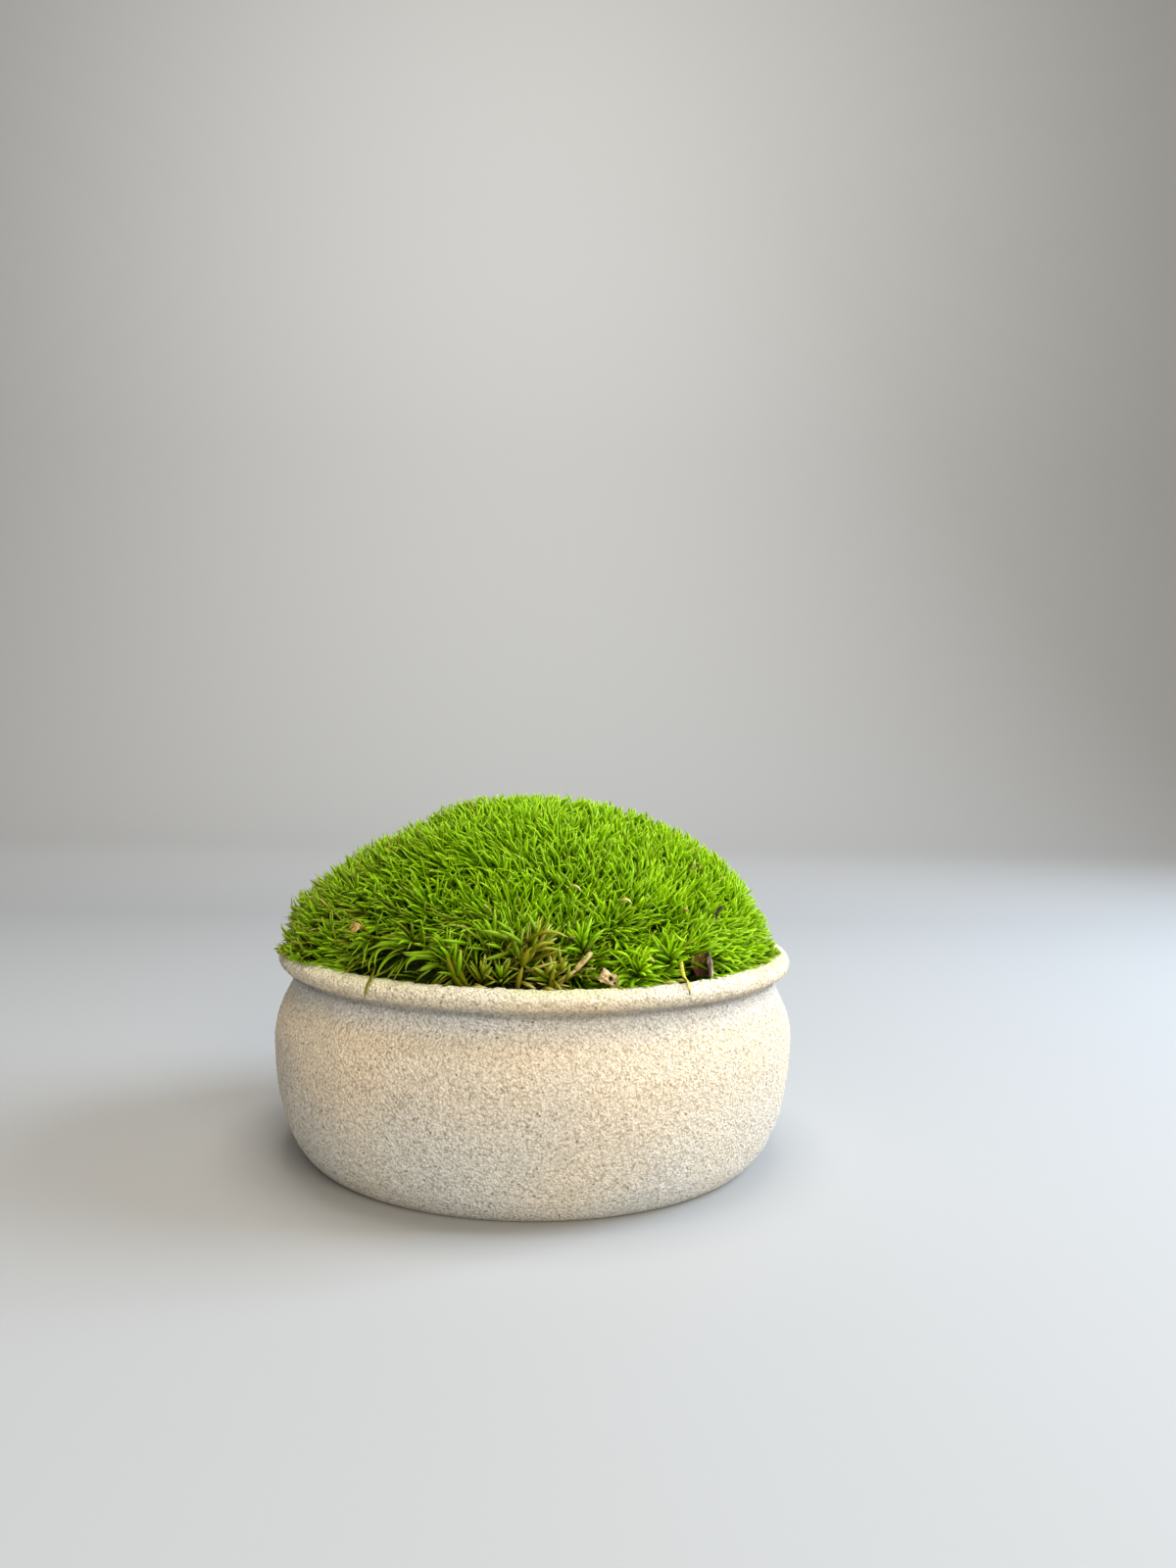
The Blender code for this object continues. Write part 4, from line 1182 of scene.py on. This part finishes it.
def rolled_along(route, half_width, curl, ends, wobble=0.0):
    """A rule for a blade that follows a route and is rolled lengthwise through an angle in radians."""
    turns = np.radians([point[0] for point in route])
    radii, heights = [np.array([point[n] for point in route]) for n in (1, 2)]
    corners = np.stack([radii * np.cos(turns), radii * np.sin(turns), heights], 1)

    def surface(across, along):
        spot = along[0] * (len(corners) - 1)
        low = np.clip(spot.astype(int), 0, len(corners) - 2)
        share = (spot - low)[:, None]
        before, after = np.maximum(low - 1, 0), np.minimum(low + 2, len(corners) - 1)
        p0, p1, p2, p3 = corners[before], corners[low], corners[low + 1], corners[after]
        centre = p1 + 0.5 * share * (p2 - p0 + share * (2 * p0 - 5 * p1 + 4 * p2 - p3
                                                        + share * (3 * (p1 - p2) + p3 - p0)))
        heading = unit(np.gradient(centre, axis=0))
        outward = unit(centre * OUTWARD_TILT)
        side = unit(np.cross(heading, outward))
        face = np.cross(side, heading)
        taper = np.minimum(1, ends[0] + (1 - ends[0]) * along / 0.3)
        taper = taper * np.minimum(1, ends[1] + (1 - along) / 0.5)
        radius = half_width * taper / math.sin(min(curl / 2, math.pi / 2))
        angle = across * curl + wobble * np.sin(9 * along)
        sideways = (radius * np.sin(angle))[..., None] * side[None]
        inward = (radius * (np.cos(angle) - math.cos(min(curl / 2, math.pi / 2)) / 2))[..., None] * face[None]
        return centre[None] + sideways + inward
    return surface


print("sheet makers are ready")

# %% [markdown]
# Dead leaves, straw and bark are streaked or flecked with browns. A noise, stretched where the real
# thing has a grain, gives the pattern, and a ramp turns it into colours from dark to pale. A finish may
# then pass into another colour along an axis or round a place, such as at the dark foot of the leaf.

# %% Dry finishes
DRY_RELIEF = 0.00012


def dry_finish(name, colours, size, stretch=(1, 1, 1), roughness=0.75):
    """A finish of streaks or flecks between the given colours, from dark to pale."""
    material, tree, shader = new_finish(name, roughness)
    shader.inputs["Specular IOR Level"].default_value = 0.2
    scaled = node(tree, "ShaderNodeMapping", object_place(tree), Scale=stretch).outputs[0]
    pattern = node(tree, "ShaderNodeTexNoise", scaled, Scale=1 / size, Detail=4.0, Roughness=0.65)
    fleck = pattern.outputs["Fac"]
    stops = list(zip(np.linspace(0.33, 0.68, len(colours)), colours))
    tree.links.new(ramp(tree, fleck, stops), shader.inputs["Base Color"])
    raise_bumps(tree, shader, fleck, DRY_RELIEF)
    return material


def faded(material, measure, start, end, colour):
    """Lets a finish pass into another colour along an axis, or by the distance from a place."""
    tree = material.node_tree
    target = tree.nodes["Principled BSDF"].inputs["Base Color"]
    place = object_place(tree)
    if isinstance(measure, str):
        value = node(tree, "ShaderNodeSeparateXYZ", place).outputs[measure]
    else:
        value = node(tree, "ShaderNodeVectorMath", place, measure, operation="DISTANCE").outputs["Value"]
    share = share_between(tree, value, start, end)
    tree.links.new(blend_colours(tree, share, target.links[0].from_socket, colour), target)


def litter_piece(name, mesh, material, cad_node, slot):
    piece = add_piece(name, mesh, material, slot)
    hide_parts(cad_node)
    print(name, triangle_count(mesh), "triangles")


print("dry finishes are ready")

# %% [markdown]
# The curled leaf stands on the rim's inner edge with its opening to the front left. Its skin is olive
# brown with fine ribs, and darker at the foot and towards the right, where it ends in a pale edge. Its
# upper edge is ragged. The crumpled leaf in the moss at the left is the same kind of sheet, folded
# across.

# %% Curled leaf and crumpled leaf
HUSK_FOOT, HUSK_TURNS = (0.03130, -0.03860, 0.04310), (-4, 6, 138)
HUSK_HEIGHT, HUSK_R, HUSK_WRAP = 0.0046, 0.0019, math.radians(215)
CRUMPLED_CENTRE, CRUMPLED_TURNS = (-0.03412, -0.03498, 0.05105), (62, 10, -42)
CRUMPLED_SIZE = (0.0024, 0.0017)


def husk_surface(across, along):
    angle = across * HUSK_WRAP
    bulge = 0.78 + 0.50 * along - 0.42 * along ** 3 - 0.08 * np.sin(5 * across)
    radius = HUSK_R * (bulge + 0.02 * np.sin(34 * across))
    ragged = noise_at(np.stack([across * 9, along * 0, along * 0], -1), 1.0) * 0.12
    height = HUSK_HEIGHT * along * (1 - 0.34 * (2 * across) ** 2 * along + ragged * along)
    points = np.stack([radius * np.sin(angle), -radius * np.cos(angle) + 0.0006 * along, height], -1)
    crumple = noise_at(points, 0.0011) * 0.00022
    points[..., :2] *= 1 + crumple[..., None] / HUSK_R
    return placed(points, HUSK_FOOT, HUSK_TURNS)


def crumpled_surface(across, along):
    x, y = across, along - 0.5
    ragged = 1 - 0.3 * (2 * y) ** 2 + 0.25 * noise_at(np.stack([x * 0, y * 7, x * 3], -1), 1.0)
    fold = 0.0007 * np.sin(6.5 * x) + 0.0005 * noise_at(np.stack([x * 3, y * 4, x * 0], -1), 1.0, (4, 4, 4))
    points = np.stack([x * CRUMPLED_SIZE[0] * ragged, y * CRUMPLED_SIZE[1], fold], -1)
    return placed(points, CRUMPLED_CENTRE, CRUMPLED_TURNS)


husk_colours = [(0.05, 0.028, 0.006), (0.13, 0.085, 0.014), (0.25, 0.19, 0.030), (0.42, 0.34, 0.07)]
husk_finish = dry_finish("curled_brown_leaf", husk_colours, 0.0011, (1, 1, 0.35), 0.6)
faded(husk_finish, "Z", 0.0462, 0.0442, (0.075, 0.026, 0.012))
faded(husk_finish, "X", 0.0312, 0.0321, (0.070, 0.030, 0.020))
faded(husk_finish, "X", 0.0324, 0.0333, (0.80, 0.68, 0.44))
rusty_finish = dry_finish("rusty_leaf", [(0.25, 0.12, 0.03), (0.56, 0.32, 0.11), (0.76, 0.55, 0.26)], 0.0006)
litter_piece("curled_leaf", thin_sheet("curled_leaf", husk_surface, 72, 40, 0.00026), husk_finish,
             "curled_husk", "brown_leaf")
litter_piece("crumpled_leaf", thin_sheet("crumpled_leaf", crumpled_surface, 40, 30, 0.00022), rusty_finish,
             "leaf_crumb", "rusty_leaf")

# %% [markdown]
# The stalk, the yellow blade and the dark stem follow the same routes as the solids they replace. Each
# point of a route is an angle round the bowl in degrees, a distance from its axis and a height. The
# stalk is a blade rolled nearly shut, so its pale edges show with a dark line between them.

# %% Stalk, yellow blade and dark stem
STALK_ROUTE = ((-86.2, 0.0499, 0.0429), (-84.1, 0.0496, 0.0445), (-81.8, 0.0494, 0.0461),
               (-80.0, 0.0491, 0.0477), (-78.4, 0.0486, 0.0490))
BLADE_ROUTE = ((-57.3, 0.0492, 0.0467), (-57.6, 0.0500, 0.0451), (-57.9, 0.0509, 0.0438),
               (-58.4, 0.0521, 0.0434), (-59.0, 0.0534, 0.0431), (-59.5, 0.0544, 0.0424),
               (-59.7, 0.05485, 0.0415))
DARK_STEM_ROUTE = ((-42.7, 0.0467, 0.0528), (-41.8, 0.0465, 0.0538), (-40.4, 0.0463, 0.0546),
                   (-38.8, 0.0461, 0.0549), (-37.4, 0.0458, 0.0547))
straw_finish = dry_finish("dry_straw", [(0.22, 0.13, 0.04), (0.54, 0.40, 0.17), (0.76, 0.63, 0.35)], 0.0007)
faded(straw_finish, "Z", 0.0460, 0.0445, (0.24, 0.20, 0.05))
yellow_colours = [(0.28, 0.30, 0.02), (0.58, 0.52, 0.05), (0.78, 0.68, 0.18)]
yellow_finish = dry_finish("yellowed_moss", yellow_colours, 0.0014)
faded(yellow_finish, "Z", 0.0428, 0.0420, (0.10, 0.05, 0.015))
dark_colours = [(0.010, 0.007, 0.003), (0.022, 0.016, 0.008), (0.05, 0.04, 0.02)]
dark_finish = dry_finish("dark_stem", dark_colours, 0.0006, roughness=0.95)
Rolled = namedtuple("Rolled", "name surface columns rows thickness finish node slot")
for rolled in (
    Rolled("stalk_foot", rolled_along(STALK_ROUTE[:3], 0.00026, 4.3, (0.8, 0.9), 0.3), 16, 40, 0.00010,
           straw_finish, "dry_stalk", "dry_straw"),
    Rolled("rolled_stalk", rolled_along(STALK_ROUTE[2:], 0.00046, 4.3, (0.8, 0.55), 0.3), 22, 40, 0.00012,
           straw_finish, "dry_stalk", "dry_straw"),
    Rolled("yellow_blade", rolled_along(BLADE_ROUTE, 0.00036, 2.2, (0.9, 0.1), 0.35), 12, 70, 0.00012,
           yellow_finish, "dry_blade", "yellowed_moss"),
    Rolled("thin_dark_stem", rolled_along(DARK_STEM_ROUTE, 0.00025, 5.9, (1.0, 0.5)), 16, 50, 0.00008,
           dark_finish, "dark_stem", "dark_stem"),
):
    sheet = thin_sheet(rolled.name, rolled.surface, rolled.columns, rolled.rows, rolled.thickness)
    litter_piece(rolled.name, sheet, rolled.finish, rolled.node, rolled.slot)

# %% [markdown]
# The flake of bark is a small block, broken at both ends. It is cut into fine faces, which are then
# pushed along its grain, and hollows are pressed into its front, as in worm-eaten bark. Their dark
# colour is painted shade.

# %% Bark flake
CHIP_CENTRE, CHIP_TURNS = (0.0133, -0.0483, 0.0444), (-14, 25, 15)
CHIP_SIZE = (0.0038, 0.0011, 0.0020)
CHIP_TURN = Euler([math.radians(angle) for angle in CHIP_TURNS]).to_matrix().to_4x4()
CHIP_PLACE = Matrix.Translation(CHIP_CENTRE) @ CHIP_TURN
CHIP_HOLLOWS = (((-0.00015, 0.00000), 0.00044, 0.00050), ((0.00085, -0.00045), 0.00026, 0.00040))
BARK_GRAIN, BARK_CRUMBLE = (0.0018, 0.0005, 0.00035), 0.0006
HOLLOW_SHADE_COLOUR = (0.016, 0.008, 0.004)


def broken_block():
    """A block with its corners and edges put out of true, in many small faces."""
    jogs = random.Random(11)
    shape = bmesh.new()
    bmesh.ops.create_cube(shape, size=1.0)
    bmesh.ops.subdivide_edges(shape, edges=shape.edges, cuts=2, use_grid_fill=True)
    for vert in shape.verts:
        taper = 0.95 - 0.5 * abs(vert.co.x) - 0.2 * max(vert.co.x, 0.0)
        jog = Vector([jogs.uniform(-0.17, 0.17) for _ in range(3)])
        if vert.co.x < -0.4 and vert.co.z > 0.4:
            jog += Vector((-0.10, 0, 0.22))
        spread = Vector((vert.co.x, vert.co.y * taper, vert.co.z * taper)) + jog
        vert.co = Vector([spread[n] * CHIP_SIZE[n] for n in range(3)])
    for _ in range(3):
        bmesh.ops.subdivide_edges(shape, edges=shape.edges, cuts=1, use_grid_fill=True, smooth=0.25)
    return shape


def bark_flake():
    shape = broken_block()
    shape.normal_update()
    for vert in shape.verts:
        grain = noise.noise(Vector([vert.co[n] / BARK_GRAIN[n] for n in range(3)]))
        break_up = noise.noise(vert.co / BARK_CRUMBLE + Vector((5, 0, 0)))
        depth = 0.00010 * grain + 0.00020 * break_up
        for (x, z), size, deep in CHIP_HOLLOWS:
            away = math.hypot(vert.co.x - x, vert.co.z - z) / size
            if vert.co.y < 0:
                depth -= deep * math.exp(-away * away)
        vert.co = vert.co + vert.normal * depth
    shape.transform(CHIP_PLACE)
    return mesh_from_shape("bark_flake", shape)


bark_colours = [(0.10, 0.055, 0.022), (0.42, 0.28, 0.12), (0.68, 0.52, 0.28), (0.86, 0.74, 0.48)]
bark_finish = dry_finish("pale_bark", bark_colours, 0.0008, (0.7, 1, 1.2), 0.8)
# Dark colour round the hollows: painted shade in the recesses.
for (x, z), size, deep in CHIP_HOLLOWS:
    hollow_centre = CHIP_PLACE @ Vector((x, deep / 2 - CHIP_SIZE[1] / 2, z))
    faded(bark_finish, hollow_centre, size * 1.25, size * 0.7, HOLLOW_SHADE_COLOUR)
litter_piece("bark_flake", bark_flake(), bark_finish, "bark_chip", "pale_bark")
